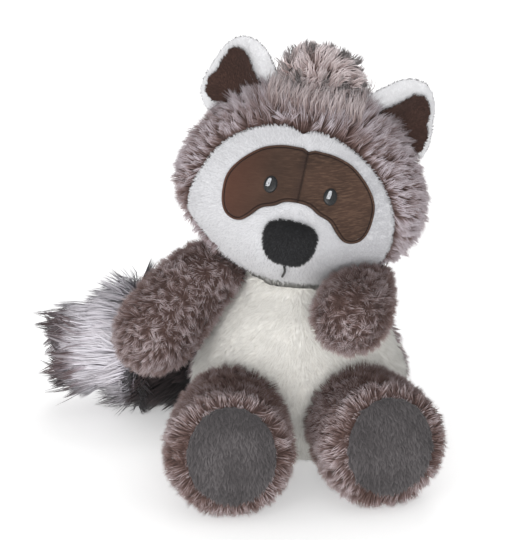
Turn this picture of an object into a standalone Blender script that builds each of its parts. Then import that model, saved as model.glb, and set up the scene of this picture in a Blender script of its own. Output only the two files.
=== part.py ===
"""A sitting plush raccoon. It faces -Y and rests on its seat and heels at z = 0.

Left and right are the toy's own, so left is +X. Lengths are in metres.
"""

import math

import bmesh
import bpy
from mathutils import Matrix, Vector

MM = 0.001
CLEARANCE = 0.3 * MM  # between sewn pieces that touch

# Head, in its own frame: x to its left, y to its back, z to its crown
HEAD_ASIDE = 1 * MM
HEAD_FORWARD = 8 * MM
HEAD_RISE = 1 * MM  # the head's lowest point above the neck's roundest level
HEAD_ROLL = math.radians(11)
HEAD_PITCH = math.radians(8)
HEAD_YAW = math.radians(-5.2)
HEAD_HALF_WIDTH = 65 * MM
HEAD_HALF_DEPTH = 54 * MM
HEAD_HALF_HEIGHT = 54 * MM
CHEEK_SWELL = 0.07
CHEEK_LEVEL = -14 * MM
CHEEK_SPREAD = 26 * MM
MUZZLE_REACH = 19 * MM
MUZZLE_LEVEL = -24 * MM
MUZZLE_HALF_WIDTH = 25 * MM
MUZZLE_HALF_HEIGHT = 20 * MM

# Face, drawn on a plane that leans back, so that it lies square to someone who looks down at the toy
FACE_LEAN = math.radians(12)
FACE_LEVEL = -2.2 * MM  # the face's middle, below the middle of the head
FACE_ASIDE = -2.5 * MM
FACE_SWAY = 0.12  # how far its top bends aside, as a share of the height
FACE_HALF_WIDTH = 54.5 * MM
FACE_TOP = 28.5 * MM
FACE_BOTTOM = -62 * MM
FACE_BACK = -14 * MM
PELT = 3 * MM
MASK_HALF_WIDTH = 39.8 * MM
MASK_TOP = 18.9 * MM
MASK_BOTTOM = -24 * MM
MASK_THICKNESS = 1.2 * MM
EYE_SPREAD = 15.5 * MM
EYE_LEVEL = -3 * MM
EYE_HALF_WIDTH = 3.5 * MM
EYE_HALF_HEIGHT = 4.6 * MM
EYE_THICKNESS = 1.0 * MM
GLINT_HALF_WIDTH = 0.95 * MM
GLINT_HALF_HEIGHT = 2.2 * MM
GLINT_THICKNESS = 0.5 * MM
GLINT_ASIDE = -0.9 * MM
GLINT_RISE = 0.8 * MM
GLINT_OFFSET = Vector((GLINT_ASIDE, GLINT_RISE))
NOSE_LEVEL = -30.8 * MM
NOSE_HALF_WIDTH = 14 * MM
NOSE_HALF_HEIGHT = 11.5 * MM
NOSE_HALF_DEPTH = 6.5 * MM
NOSE_TAPER = 0.14
NOSE_SQUARENESS = 2.7  # 2 is round
MOUTH_LENGTH = 6 * MM
MOUTH_BEND = 0.8 * MM
MOUTH_OUT = Vector((0, -1, -0.35)).normalized()  # square to the muzzle below the nose
THREAD = 0.6 * MM

# Ears, each a cupped round triangle with its lining set into the front
EAR_BACK = 2 * MM
EAR_INSET = 23.5 * MM  # the ear's middle in from the side of the head
EAR_SPREAD = HEAD_HALF_WIDTH - EAR_INSET
EAR_RISE_LEFT = 2.6 * MM  # the ear's middle above the side of the crown
EAR_RISE_RIGHT = 5.6 * MM
EAR_RADIUS = 24.5 * MM
EAR_CORNER = 0.11
EAR_HALF_DEPTH = 5.5 * MM
EAR_CUP = 4 * MM
EAR_TURN = math.radians(16)
EAR_TILT_RIGHT = math.radians(8)
EAR_TILT_LEFT = math.radians(24)
EAR_RIM = 8.2 * MM
LINING_CORNER = 0.2
LINING_HALF_DEPTH = 1.5 * MM
LINING_PROUD = 0.45 * MM
LINING_ASIDE = 3 * MM
LINING_RISE = 1.5 * MM

# Forelock, a tuft that stands on the crown
FORELOCK_ASIDE = -2 * MM
FORELOCK_FORWARD = 12 * MM
FORELOCK_RISE = 7.5 * MM  # its middle above the crown
FORELOCK_HALF_WIDTH = 23 * MM
FORELOCK_HALF_DEPTH = 15 * MM
FORELOCK_HALF_HEIGHT = 17 * MM
FORELOCK_LOCKS = 7
FORELOCK_PART = 2.2 * MM
FORELOCK_SWEEP = 7 * MM

# Body, a stuffed tube that is widest at the belly
BELLY_HALF_WIDTH = 60 * MM
BELLY_HALF_DEPTH = 50 * MM
BELLY_LEVEL = 39 * MM
BELLY_HALF_SPAN = 7 * MM
BELLY_FORWARD = 2 * MM
CHEST_HALF_WIDTH = 45 * MM
CHEST_HALF_DEPTH = 42 * MM
CHEST_LEVEL = 80 * MM
NECK_HALF_WIDTH = 33 * MM
NECK_HALF_DEPTH = 31 * MM
NECK_LEVEL = 95 * MM
BELLY_SEAM = -6 * MM

# Arms: the shoulder from the middle of the neck, the elbow from the shoulder, the hand from the elbow
SHOULDER_RADIUS = 17 * MM
ELBOW_RADIUS_RIGHT = 23 * MM
ELBOW_RADIUS_LEFT = 20 * MM
HAND_RADIUS_RIGHT = 24 * MM
HAND_RADIUS_LEFT = 22 * MM
SHOULDER_RIGHT_ASIDE = -34 * MM
SHOULDER_RIGHT_BACK = -2 * MM
SHOULDER_RIGHT_RISE = 13 * MM
SHOULDER_RIGHT = Vector((SHOULDER_RIGHT_ASIDE, SHOULDER_RIGHT_BACK, SHOULDER_RIGHT_RISE))
ELBOW_RIGHT_ASIDE = -26 * MM
ELBOW_RIGHT_BACK = -12 * MM
ELBOW_RIGHT_RISE = -17 * MM
ELBOW_RIGHT = Vector((ELBOW_RIGHT_ASIDE, ELBOW_RIGHT_BACK, ELBOW_RIGHT_RISE))
HAND_RIGHT_ASIDE = -19 * MM
HAND_RIGHT_BACK = -15 * MM
HAND_RIGHT_RISE = -19 * MM
HAND_RIGHT = Vector((HAND_RIGHT_ASIDE, HAND_RIGHT_BACK, HAND_RIGHT_RISE))
SHOULDER_LEFT_ASIDE = 33 * MM
SHOULDER_LEFT_BACK = -10 * MM
SHOULDER_LEFT_RISE = 9 * MM
SHOULDER_LEFT = Vector((SHOULDER_LEFT_ASIDE, SHOULDER_LEFT_BACK, SHOULDER_LEFT_RISE))
ELBOW_LEFT_ASIDE = -2 * MM
ELBOW_LEFT_BACK = -38 * MM
ELBOW_LEFT_RISE = -3 * MM
ELBOW_LEFT = Vector((ELBOW_LEFT_ASIDE, ELBOW_LEFT_BACK, ELBOW_LEFT_RISE))
HAND_LEFT_ASIDE = -6 * MM
HAND_LEFT_BACK = -31 * MM
HAND_LEFT = Vector((HAND_LEFT_ASIDE, HAND_LEFT_BACK, 0))

# Legs, lying forward on the floor: x and y of the hip, the knee from the hip, the foot from the knee
HIP_RADIUS = 26 * MM
KNEE_RADIUS = 32 * MM
FOOT_RADIUS = 35 * MM
HIP_LIFT = 4 * MM
HEEL_FLAT = 0.6 * MM  # how deep the floor's flat cuts into the round heel
HIP_RIGHT_ASIDE = -33 * MM
HIP_RIGHT_BACK = -22 * MM
HIP_RIGHT = Vector((HIP_RIGHT_ASIDE, HIP_RIGHT_BACK))
KNEE_RIGHT_ASIDE = -5 * MM
KNEE_RIGHT_BACK = -50 * MM
KNEE_RIGHT = Vector((KNEE_RIGHT_ASIDE, KNEE_RIGHT_BACK))
FOOT_RIGHT_BACK = -34 * MM
FOOT_RIGHT = Vector((0, FOOT_RIGHT_BACK))
HIP_LEFT_ASIDE = 30 * MM
HIP_LEFT_BACK = -20 * MM
HIP_LEFT = Vector((HIP_LEFT_ASIDE, HIP_LEFT_BACK))
KNEE_LEFT_ASIDE = 4 * MM
KNEE_LEFT_BACK = -42 * MM
KNEE_LEFT = Vector((KNEE_LEFT_ASIDE, KNEE_LEFT_BACK))
FOOT_LEFT_ASIDE = 8 * MM
FOOT_LEFT_BACK = -32 * MM
FOOT_LEFT = Vector((FOOT_LEFT_ASIDE, FOOT_LEFT_BACK))
FOOT_BLUNT = 0.45
SOLE_HALF_WIDTH = 24 * MM
SOLE_HALF_HEIGHT = 26.5 * MM
SOLE_THICKNESS = 2 * MM
SOLE_PROUD = 0.4 * MM
SOLE_YAW_RIGHT = math.radians(6)
SOLE_YAW_LEFT = math.radians(17)
SOLE_RISE = 3.6 * MM

# Tail: the root runs to the right along the back of the body, and the brush carries on from it
TAIL_START_RADIUS = 26 * MM
TAIL_MIDDLE_RADIUS = 33 * MM
TAIL_RADIUS = 35.5 * MM
TAIL_START_ASIDE = -24 * MM
TAIL_START_BACK = 40 * MM
TAIL_START_RISE = 34 * MM
TAIL_START = Vector((TAIL_START_ASIDE, TAIL_START_BACK, TAIL_START_RISE))
TAIL_MIDDLE_ASIDE = -54 * MM
TAIL_MIDDLE_BACK = 44 * MM
TAIL_MIDDLE_RISE = 36 * MM
TAIL_MIDDLE = Vector((TAIL_MIDDLE_ASIDE, TAIL_MIDDLE_BACK, TAIL_MIDDLE_RISE))
TAIL_SEAM_ASIDE = -87 * MM
TAIL_SEAM_BACK = 43 * MM
TAIL_SEAM_RISE = 36.5 * MM
TAIL_SEAM = Vector((TAIL_SEAM_ASIDE, TAIL_SEAM_BACK, TAIL_SEAM_RISE))  # where the brush is sewn on
ROOT_BLUNT = 0.06
BRUSH_OVERLAP = 3 * MM  # how far the brush starts inside the root, which then trims it
BRUSH_SWELL = 1.5 * MM
BRUSH_BACK_ASIDE = -11 * MM
BRUSH_BACK_RISE = 1 * MM
BRUSH_BACK = Vector((BRUSH_BACK_ASIDE, 0, BRUSH_BACK_RISE))  # from the seam
BRUSH_LENGTH_ASIDE = -23 * MM
BRUSH_LENGTH_BACK = -1 * MM
BRUSH_LENGTH_RISE = -0.5 * MM
BRUSH_LENGTH = Vector((BRUSH_LENGTH_ASIDE, BRUSH_LENGTH_BACK, BRUSH_LENGTH_RISE))
BRUSH_END_RADIUS = 27 * MM
BRUSH_LOCK = 11 * MM

BROWN = (0.105, 0.075, 0.070)
WHITE = (0.76, 0.75, 0.73)
SUEDE = (0.077, 0.040, 0.029)
BLACK = (0.020, 0.019, 0.020)
LINING_BROWN = (0.055, 0.032, 0.026)
THREAD_GREY = (0.40, 0.40, 0.42)
SOLE_GREY = (0.092, 0.086, 0.086)
BRUSH_GREY = (0.58, 0.54, 0.60)


def clear_scene():
    for obj in list(bpy.data.objects):
        bpy.data.objects.remove(obj, do_unlink=True)


def new_collection(name):
    collection = bpy.data.collections.new(name)
    bpy.context.scene.collection.children.link(collection)
    return collection


def fabric(name, colour, roughness=0.95):
    material = bpy.data.materials.new(name)
    material.use_nodes = True
    shader = material.node_tree.nodes["Principled BSDF"]
    shader.inputs["Base Color"].default_value = (*colour, 1.0)
    shader.inputs["Roughness"].default_value = roughness
    shader.inputs["Metallic"].default_value = 0.0
    return material


def add_object(name, bm, collection, parent=None):
    """An object made of this closed bmesh, facing out and smooth all over."""
    bmesh.ops.recalc_face_normals(bm, faces=bm.faces)
    if bm.calc_volume(signed=True) < 0:
        bmesh.ops.reverse_faces(bm, faces=bm.faces)
    mesh = bpy.data.meshes.new(name)
    bm.to_mesh(mesh)
    bm.free()
    mesh.shade_smooth()
    obj = bpy.data.objects.new(name, mesh)
    collection.objects.link(obj)
    obj.parent = parent
    return obj


def as_cutter(obj):
    obj.hide_render = True
    obj.display_type = "WIRE"
    return obj


def cut(obj, cutter, operation="DIFFERENCE"):
    modifier = obj.modifiers.new(f"{operation.lower()}_{cutter.name}", "BOOLEAN")
    modifier.operation = operation
    modifier.solver = "EXACT"
    modifier.object = cutter


def smooth_bump(distance):
    return math.exp(-distance * distance)


def swell(bm, offset):
    """Moves the whole surface out along its normals by the offset."""
    bm.normal_update()
    for vert in bm.verts:
        vert.co += vert.normal * offset


def ball(segments, rings):
    """A ball of radius 1. Its quads are split the same way each time, so that swollen copies stay parallel."""
    bm = bmesh.new()
    bmesh.ops.create_uvsphere(bm, u_segments=segments, v_segments=rings, radius=1.0)
    bmesh.ops.triangulate(bm, faces=bm.faces, quad_method="FIXED")
    return bm


# Head


def head_surface(x, z, side):
    """Where the head's front (side -1) or back (side 1) lies in y, above the point x, z of its own frame."""
    width = HEAD_HALF_WIDTH * (1 + CHEEK_SWELL * smooth_bump((z - CHEEK_LEVEL) / CHEEK_SPREAD))
    inside = 1 - (x / width) ** 2 - (z / HEAD_HALF_HEIGHT) ** 2
    y = side * HEAD_HALF_DEPTH * math.sqrt(max(inside, 0))
    if side < 0:
        y -= muzzle(x, z)
    return y


def muzzle(x, z):
    """How far the muzzle stands out in front of the round head."""
    across = smooth_bump(x / MUZZLE_HALF_WIDTH)
    return MUZZLE_REACH * across * smooth_bump((z - MUZZLE_LEVEL) / MUZZLE_HALF_HEIGHT)


def face_point(x, level):
    """The point of the head's front that the face's leaning plane shows at x, level."""
    y = -HEAD_HALF_DEPTH
    for _ in range(12):
        z = (FACE_LEVEL + level - y * math.sin(FACE_LEAN)) / math.cos(FACE_LEAN)
        y = head_surface(x, z, -1)
    return Vector((x, y, z))


def head_form(name, offset, collection, parent):
    """The stuffed head with its cheeks and muzzle, swollen by the offset."""
    bm = ball(30, 20)
    for vert in bm.verts:
        x, y, z = vert.co
        z *= HEAD_HALF_HEIGHT
        swollen = 1 + CHEEK_SWELL * smooth_bump((z - CHEEK_LEVEL) / CHEEK_SPREAD)
        x *= HEAD_HALF_WIDTH * swollen
        front = max(0.0, -y)
        y = y * HEAD_HALF_DEPTH - muzzle(x, z) * min(1.0, 2 * front)
        vert.co = (x, y, z)
    swell(bm, offset)
    return add_object(name, bm, collection, parent)


def prism(name, outline, grow, far, collection, parent):
    """A flat outline drawn on a plane in front of the face and pushed through the head to y = far."""
    near = -3 * HEAD_HALF_DEPTH
    bm = bmesh.new()
    corners = grown(outline, grow)
    ring = [bm.verts.new((x, near, FACE_LEVEL + level)) for x, level in corners]
    face = bm.faces.new(ring)
    pushed = bmesh.ops.extrude_face_region(bm, geom=[face])
    moved = [item for item in pushed["geom"] if isinstance(item, bmesh.types.BMVert)]
    bmesh.ops.translate(bm, verts=moved, vec=(0, far - near, 0))
    obj = add_object(name, bm, collection, parent)
    obj.rotation_euler = (-FACE_LEAN, 0, 0)
    return as_cutter(obj)


def grown(outline, distance):
    """The outline with each corner moved out by the distance, square to its neighbours' line."""
    points = [Vector(point) for point in outline]
    area = sum(a.x * b.y - b.x * a.y for a, b in zip(points, points[1:] + points[:1]))
    turn = 1 if area > 0 else -1
    result = []
    for index, point in enumerate(points):
        along = points[(index + 1) % len(points)] - points[index - 1]
        outward = Vector((along.y, -along.x)).normalized() * turn
        result.append(point + outward * distance)
    return result


def rounded(points, steps=4):
    """A closed smooth curve through the points."""
    smooth = []
    count = len(points)
    for index in range(count):
        a, b, c, d = (Vector(points[(index + k) % count]) for k in (-1, 0, 1, 2))
        for step in range(steps):
            t = step / steps
            smooth.append(
                b + 0.5 * t * ((c - a) + t * ((2 * a - 5 * b + 4 * c - d) + t * (3 * (b - c) + d - a)))
            )
    return smooth


def oval(centre, half_width, half_height, lean=0.0, points=20):
    turn = Matrix.Rotation(lean, 2)
    result = []
    for index in range(points):
        angle = 2 * math.pi * index / points
        result.append(centre + turn @ Vector((half_width * math.cos(angle), half_height * math.sin(angle))))
    return result


def face_outline():
    """The white face: a heart that dips at the top middle, full at the cheeks and runs under the chin."""
    half = (
        (0.00, 0.93, 1), (0.15, 1.00, 1), (0.42, 0.88, 1), (0.73, 0.51, 1), (0.93, -0.05, 1),
        (1.00, 0.25, -1), (0.95, 0.48, -1), (0.72, 0.74, -1), (0.38, 0.94, -1), (0.00, 1.00, -1),
    )
    outline = mirrored(half, FACE_HALF_WIDTH, FACE_TOP, -FACE_BOTTOM)
    return [(x + FACE_ASIDE - FACE_SWAY * max(0, level), level) for x, level in outline]


def mirrored(half, width, top, bottom):
    """A closed outline from its +x half. Each point is a share of the width, a share of a height and which one."""
    right = [(x * width, level * (top if up > 0 else -bottom)) for x, level, up in half]
    left = [(-x, level) for x, level in right[-2:0:-1]]
    return rounded(right + left)


def mask_outline(side):
    """One half of the mask, on the +x side (1) or the -x side (-1), with a straight edge at the middle seam."""
    half = (
        (0.20, 1.00, 1), (0.40, 0.95, 1), (0.60, 0.80, 1), (0.79, 0.49, 1), (0.92, 0.17, 1),
        (0.99, 0.12, -1), (1.00, 0.42, -1), (0.97, 0.70, -1), (0.90, 0.90, -1), (0.79, 1.00, -1),
        (0.68, 1.00, -1), (0.58, 0.88, -1), (0.45, 0.66, -1), (0.29, 0.56, -1), (0.13, 0.42, -1),
    )
    seam = CLEARANCE / 2
    points = [(seam, 0.94 * MASK_TOP)]
    for x, level, up in half:
        points.append((x * MASK_HALF_WIDTH, level * (MASK_TOP if up > 0 else MASK_BOTTOM)))
    points.append((seam, 0.40 * MASK_BOTTOM))
    return [(side * x, level) for x, level in points]


def patch(name, outline, inner, outer, head):
    """A piece of fabric that follows the head between two offsets from it, inside the outline."""
    piece = head_form(name, outer, head["parts"], head["frame"])
    through = prism(f"{name}_outline", outline, 0, FACE_BACK, head["cutters"], head["frame"])
    under = as_cutter(head_form(f"{name}_bed", inner, head["cutters"], head["frame"]))
    cut(piece, through, "INTERSECT")
    cut(piece, under)
    return piece


def build_head(parts, cutters):
    frame = bpy.data.objects.new("head_frame", None)
    parts.objects.link(frame)
    frame.location = (HEAD_ASIDE, -HEAD_FORWARD, NECK_LEVEL + HEAD_HALF_HEIGHT + HEAD_RISE)
    frame.rotation_euler = (-HEAD_PITCH, HEAD_ROLL, HEAD_YAW)
    head = {"parts": parts, "cutters": cutters, "frame": frame}

    hood = head_form("head_hood", 0, parts, frame)
    pocket = prism("face_pocket", face_outline(), CLEARANCE, FACE_BACK + CLEARANCE, cutters, frame)
    core = as_cutter(head_form("head_core", -PELT - CLEARANCE, cutters, frame))
    cut(pocket, core)
    cut(hood, pocket)
    hood.data.materials.append(fabric("brown_pelt", BROWN))

    face = patch("face_panel", face_outline(), -PELT, 0, head)
    face.data.materials.append(fabric("white_face", WHITE))

    for side, word in ((1, "left"), (-1, "right")):
        top = CLEARANCE + MASK_THICKNESS
        mask = patch(f"mask_{word}", mask_outline(side), CLEARANCE, top, head)
        mask.data.materials.append(fabric("suede", SUEDE))
        centre = Vector((side * EYE_SPREAD, EYE_LEVEL))
        outline = oval(centre, EYE_HALF_WIDTH, EYE_HALF_HEIGHT)
        bed = top + CLEARANCE
        top = bed + EYE_THICKNESS
        eye = patch(f"eye_{word}", outline, bed, top, head)
        eye.data.materials.append(fabric("black_thread", BLACK, 0.4))
        glint_outline = oval(centre + GLINT_OFFSET, GLINT_HALF_WIDTH, GLINT_HALF_HEIGHT, points=14)
        bed = top + CLEARANCE
        glint = patch(f"eye_glint_{word}", glint_outline, bed, bed + GLINT_THICKNESS, head)
        glint.data.materials.append(fabric("grey_thread", THREAD_GREY, 0.4))

    build_nose(head)
    for side, word in ((1, "left"), (-1, "right")):
        build_ear(side, word, head)
    build_forelock(head)
    return head


def build_nose(head):
    """A padded nose, wider at the top, on the upper front of the muzzle, with the mouth's thread below it."""
    seat = face_point(0, NOSE_LEVEL)
    bm = ball(16, 10)
    for vert in bm.verts:
        x, y, z = vert.co
        out = math.hypot(x, z)
        corners = (abs(x) ** NOSE_SQUARENESS + abs(z) ** NOSE_SQUARENESS) ** (1 / NOSE_SQUARENESS)
        squared = out / corners if corners else 1
        x *= squared * (1 + NOSE_TAPER * z)
        vert.co = (x * NOSE_HALF_WIDTH, y * NOSE_HALF_DEPTH, z * squared * NOSE_HALF_HEIGHT)
    nose = add_object("nose", bm, head["parts"], head["frame"])
    nose.location = seat
    nose.rotation_euler = (-FACE_LEAN, 0, 0)
    bed = as_cutter(head_form("nose_bed", CLEARANCE, head["cutters"], head["frame"]))
    cut(nose, bed)
    nose.data.materials.append(fabric("nose_plush", BLACK))

    low = NOSE_LEVEL - NOSE_HALF_HEIGHT
    start = face_point(0, low - THREAD)
    end = face_point(0, low - MOUTH_LENGTH)
    middle = face_point(MOUTH_BEND, low - MOUTH_LENGTH / 2)
    stations = [(point + THREAD * MOUTH_OUT, THREAD, THREAD) for point in (start, middle, end)]
    thread = stuffed("mouth_stitch", stations, 10, head["parts"], head["frame"], ends=2, middles=4)
    face = as_cutter(head_form("mouth_bed", CLEARANCE, head["cutters"], head["frame"]))
    cut(thread, face)
    cut(thread, swollen(nose, CLEARANCE, head["cutters"]))
    thread.data.materials.append(fabric("dark_thread", BLACK, 0.6))


def swollen(obj, offset, cutters):
    """A cutter in the shape of the object before its own cuts, swollen by the offset."""
    bm = bmesh.new()
    bm.from_mesh(obj.data)
    swell(bm, offset)
    room = add_object(f"{obj.name}_room", bm, cutters, obj.parent)
    room.location = obj.location
    room.rotation_euler = obj.rotation_euler
    return as_cutter(room)


def ear_shape(radius, corner, half_depth, rings, segments):
    """A cupped round triangle that faces -y, with one corner at the top."""
    bm = ball(segments, rings)
    for vert in bm.verts:
        x, y, z = vert.co
        angle = math.atan2(z, x)
        reach = radius * (1 + corner * math.cos(3 * (angle - math.pi / 2)))
        out = math.hypot(x, z)
        cup = -EAR_CUP * out * out
        vert.co = (x * reach, y * half_depth + cup, z * reach)
    return bm


def build_ear(side, word, head):
    """One ear with its lining, trimmed where it is sewn to the head."""
    tilt, rise = (EAR_TILT_LEFT, EAR_RISE_LEFT) if side > 0 else (EAR_TILT_RIGHT, EAR_RISE_RIGHT)
    crown = HEAD_HALF_HEIGHT * math.sqrt(1 - (EAR_SPREAD / HEAD_HALF_WIDTH) ** 2)
    place = Vector((side * EAR_SPREAD, EAR_BACK, crown + rise))
    turned = (0, side * tilt, side * EAR_TURN)

    bm = ear_shape(EAR_RADIUS - EAR_RIM, LINING_CORNER, LINING_HALF_DEPTH, 8, 16)
    seat = (side * LINING_ASIDE, -EAR_HALF_DEPTH - LINING_PROUD, LINING_RISE)
    bmesh.ops.translate(bm, verts=bm.verts, vec=seat)
    lining = add_object(f"ear_lining_{word}", bm, head["parts"], head["frame"])
    lining.location = place
    lining.rotation_euler = turned
    lining.data.materials.append(fabric("ear_lining", LINING_BROWN))

    bm = ear_shape(EAR_RADIUS, EAR_CORNER, EAR_HALF_DEPTH, 10, 20)
    ear = add_object(f"ear_{word}", bm, head["parts"], head["frame"])
    ear.location = place
    ear.rotation_euler = turned
    ear.data.materials.append(fabric("ear_plush", WHITE))
    cut(ear, swollen(lining, CLEARANCE, head["cutters"]))

    bed = as_cutter(head_form(f"ear_bed_{word}", CLEARANCE, head["cutters"], head["frame"]))
    cut(ear, bed)
    cut(lining, bed)


def build_forelock(head):
    """A tuft on the crown, combed forward in locks that lie side by side."""
    rings = 2 * FORELOCK_LOCKS
    bm = ball(16, rings)
    bmesh.ops.rotate(bm, verts=bm.verts, matrix=Matrix.Rotation(math.pi / 2, 3, "Y"))
    for vert in bm.verts:
        x, y, z = vert.co
        ring = round(math.acos(max(-1.0, min(1.0, x))) * rings / math.pi)
        parting = FORELOCK_PART if ring % 2 == 0 else 0
        sweep = FORELOCK_SWEEP * max(0.0, -y) * max(0.0, 0.6 - z)
        vert.co = (
            x * FORELOCK_HALF_WIDTH,
            y * (FORELOCK_HALF_DEPTH - parting) - (0 if parting else sweep),
            z * (FORELOCK_HALF_HEIGHT - parting),
        )
    tuft = add_object("forelock", bm, head["parts"], head["frame"])
    tuft.location = (FORELOCK_ASIDE, -FORELOCK_FORWARD, HEAD_HALF_HEIGHT + FORELOCK_RISE)
    bed = as_cutter(head_form("forelock_bed", CLEARANCE, head["cutters"], head["frame"]))
    cut(tuft, bed)
    for word in ("left", "right"):
        ear = bpy.data.objects[f"ear_{word}"]
        cut(tuft, swollen(ear, CLEARANCE, head["cutters"]))
    tuft.data.materials.append(fabric("forelock_hair", BROWN))


# Body and limbs


def between(stations, place):
    """The smooth centre and half sizes at a place from 0, the first station, to 1, the last one."""
    rows = [Vector((*centre, half_width, half_depth)) for centre, half_width, half_depth in stations]
    spans = len(rows) - 1
    index = min(int(place * spans), spans - 1)
    t = place * spans - index
    b, c = rows[index], rows[index + 1]
    a = rows[index - 1] if index > 0 else 2 * b - c
    d = rows[index + 2] if index + 2 <= spans else 2 * c - b
    found = b + 0.5 * t * ((c - a) + t * ((2 * a - 5 * b + 4 * c - d) + t * (3 * (b - c) + d - a)))
    return Vector(found[:3]), found[3], found[4]


def stuffed(name, stations, segments, collection, parent=None, ends=5, middles=8, blunt=1.0, lock=0.0):
    """A stuffed tube with round ends, drawn from a ball along its stations: centre, half width, half depth.

    A blunt last end is flatter than a half ball. Locks are drawn out of every second point of the last half.
    """
    rings = 2 * ends + middles
    bm = ball(segments, rings)
    for vert in bm.verts:
        level = round(math.acos(max(-1.0, min(1.0, vert.co.z))) * rings / math.pi)
        around = math.atan2(vert.co.y, vert.co.x)
        place = min(max((level - ends) / middles, 0.0), 1.0)
        centre, half_width, half_depth = between(stations, place)
        before = between(stations, max(place - 0.02, 0.0))[0]
        after = between(stations, min(place + 0.02, 1.0))[0]
        along = (after - before).normalized()
        aside = along.cross(Vector((0, 1, 0)) if abs(along.y) < 0.8 else Vector((0, 0, 1))).normalized()
        other = aside.cross(along)
        outward = aside * math.cos(around) * half_width + other * math.sin(around) * half_depth
        beyond = along * min(half_width, half_depth)
        if level < ends:
            tilt = math.pi / 2 * level / ends
            vert.co = centre + outward * math.sin(tilt) - beyond * math.cos(tilt)
        elif level > rings - ends:
            tilt = math.pi / 2 * (rings - level) / ends
            vert.co = centre + outward * math.sin(tilt) ** (0.5 + 0.5 * blunt) + beyond * blunt * math.cos(tilt)
        else:
            vert.co = centre + outward
        step = round(around * segments / (2 * math.pi))
        if lock and rings / 2 < level < rings and (level + step) % 2 == 0:
            flow = along + 0.5 * outward.normalized()
            vert.co += flow.normalized() * lock * (2 * level / rings - 1)
    return add_object(name, bm, collection, parent)


def flatten_at_floor(obj):
    """Cuts away what would reach below the floor and closes the cut with a flat face."""
    bm = bmesh.new()
    bm.from_mesh(obj.data)
    everything = list(bm.verts) + list(bm.edges) + list(bm.faces)
    bmesh.ops.bisect_plane(bm, geom=everything, plane_co=(0, 0, 0), plane_no=(0, 0, -1), clear_outer=True)
    rim = [edge for edge in bm.edges if edge.is_boundary]
    bmesh.ops.contextual_create(bm, geom=rim)
    bmesh.ops.recalc_face_normals(bm, faces=bm.faces)
    bm.to_mesh(obj.data)
    bm.free()


def torso_form(name, offset, collection):
    belly = Vector((0, -BELLY_FORWARD, BELLY_LEVEL))
    span = Vector((0, 0, BELLY_HALF_SPAN))
    stations = (
        (belly - span, BELLY_HALF_WIDTH, BELLY_HALF_DEPTH),
        (belly + span, BELLY_HALF_WIDTH, BELLY_HALF_DEPTH),
        (Vector((0, 0, CHEST_LEVEL)), CHEST_HALF_WIDTH, CHEST_HALF_DEPTH),
        (Vector((0, 0, NECK_LEVEL)), NECK_HALF_WIDTH, NECK_HALF_DEPTH),
    )
    sized = [(centre, half_width + offset, half_depth + offset) for centre, half_width, half_depth in stations]
    return stuffed(name, sized, 24, collection, ends=4, middles=6)


def limb_form(name, stations, offset, collection, blunt=1.0, lock=0.0):
    """A round limb through its stations, each a centre and a radius, swollen by the offset."""
    sized = [(centre, radius + offset, radius + offset) for centre, radius in stations]
    return stuffed(name, sized, 16, collection, ends=4, middles=5, blunt=blunt, lock=lock)


def arm_stations(shoulder, elbow, hand, elbow_radius, hand_radius):
    shoulder = Vector((0, 0, NECK_LEVEL)) + shoulder
    elbow = shoulder + elbow
    return (shoulder, SHOULDER_RADIUS), (elbow, elbow_radius), (elbow + hand, hand_radius)


def leg_stations(hip, knee, foot):
    knee = hip + knee
    foot = knee + foot
    return (
        (Vector((*hip, HIP_RADIUS + HIP_LIFT)), HIP_RADIUS),
        (Vector((*knee, KNEE_RADIUS)), KNEE_RADIUS),
        (Vector((*foot, FOOT_RADIUS - HEEL_FLAT)), FOOT_RADIUS),
    )


def build_body(parts, cutters, head):
    torso = torso_form("torso", 0, parts)
    flatten_at_floor(torso)
    torso.data.materials.append(fabric("back_pelt", BROWN))
    head_room = as_cutter(head_form("head_room", CLEARANCE, cutters, head["frame"]))

    belly = torso_form("belly_panel", 0, parts)
    flatten_at_floor(belly)
    belly.data.materials.append(fabric("white_belly", WHITE))
    belly_core = as_cutter(torso_form("belly_core", -PELT, cutters))
    front = seam_block("belly_front", BELLY_SEAM, cutters)
    cut(belly, front, "INTERSECT")
    cut(belly, belly_core)
    cut(belly, head_room)

    pocket = seam_block("belly_pocket", BELLY_SEAM + CLEARANCE, cutters)
    cut(pocket, as_cutter(torso_form("torso_core", -PELT - CLEARANCE, cutters)))
    cut(torso, pocket)
    cut(torso, head_room)

    torso_room = as_cutter(torso_form("torso_room", CLEARANCE, cutters))
    left_arm = arm_stations(SHOULDER_LEFT, ELBOW_LEFT, HAND_LEFT, ELBOW_RADIUS_LEFT, HAND_RADIUS_LEFT)
    right_arm = arm_stations(SHOULDER_RIGHT, ELBOW_RIGHT, HAND_RIGHT, ELBOW_RADIUS_RIGHT, HAND_RADIUS_RIGHT)
    for name, stations in (("arm_left", left_arm), ("arm_right", right_arm)):
        arm = limb_form(name, stations, 0, parts)
        arm.data.materials.append(fabric("arm_pelt", BROWN))
        cut(arm, torso_room)
        cut(arm, head_room)
    left_leg = leg_stations(HIP_LEFT, KNEE_LEFT, FOOT_LEFT)
    build_leg("left", left_leg, SOLE_YAW_LEFT, torso_room, parts, cutters)
    right_leg = leg_stations(HIP_RIGHT, KNEE_RIGHT, FOOT_RIGHT)
    build_leg("right", right_leg, SOLE_YAW_RIGHT, torso_room, parts, cutters)
    return torso_room


def seam_block(name, back, cutters):
    """A block that holds everything in front of the side seams of the body."""
    bm = bmesh.new()
    bmesh.ops.create_cube(bm, size=1.0)
    side = 4 * BELLY_HALF_WIDTH
    bmesh.ops.scale(bm, verts=bm.verts, vec=(side, side, side))
    bmesh.ops.translate(bm, verts=bm.verts, vec=(0, back - side / 2, 0))
    return as_cutter(add_object(name, bm, cutters))


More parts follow.
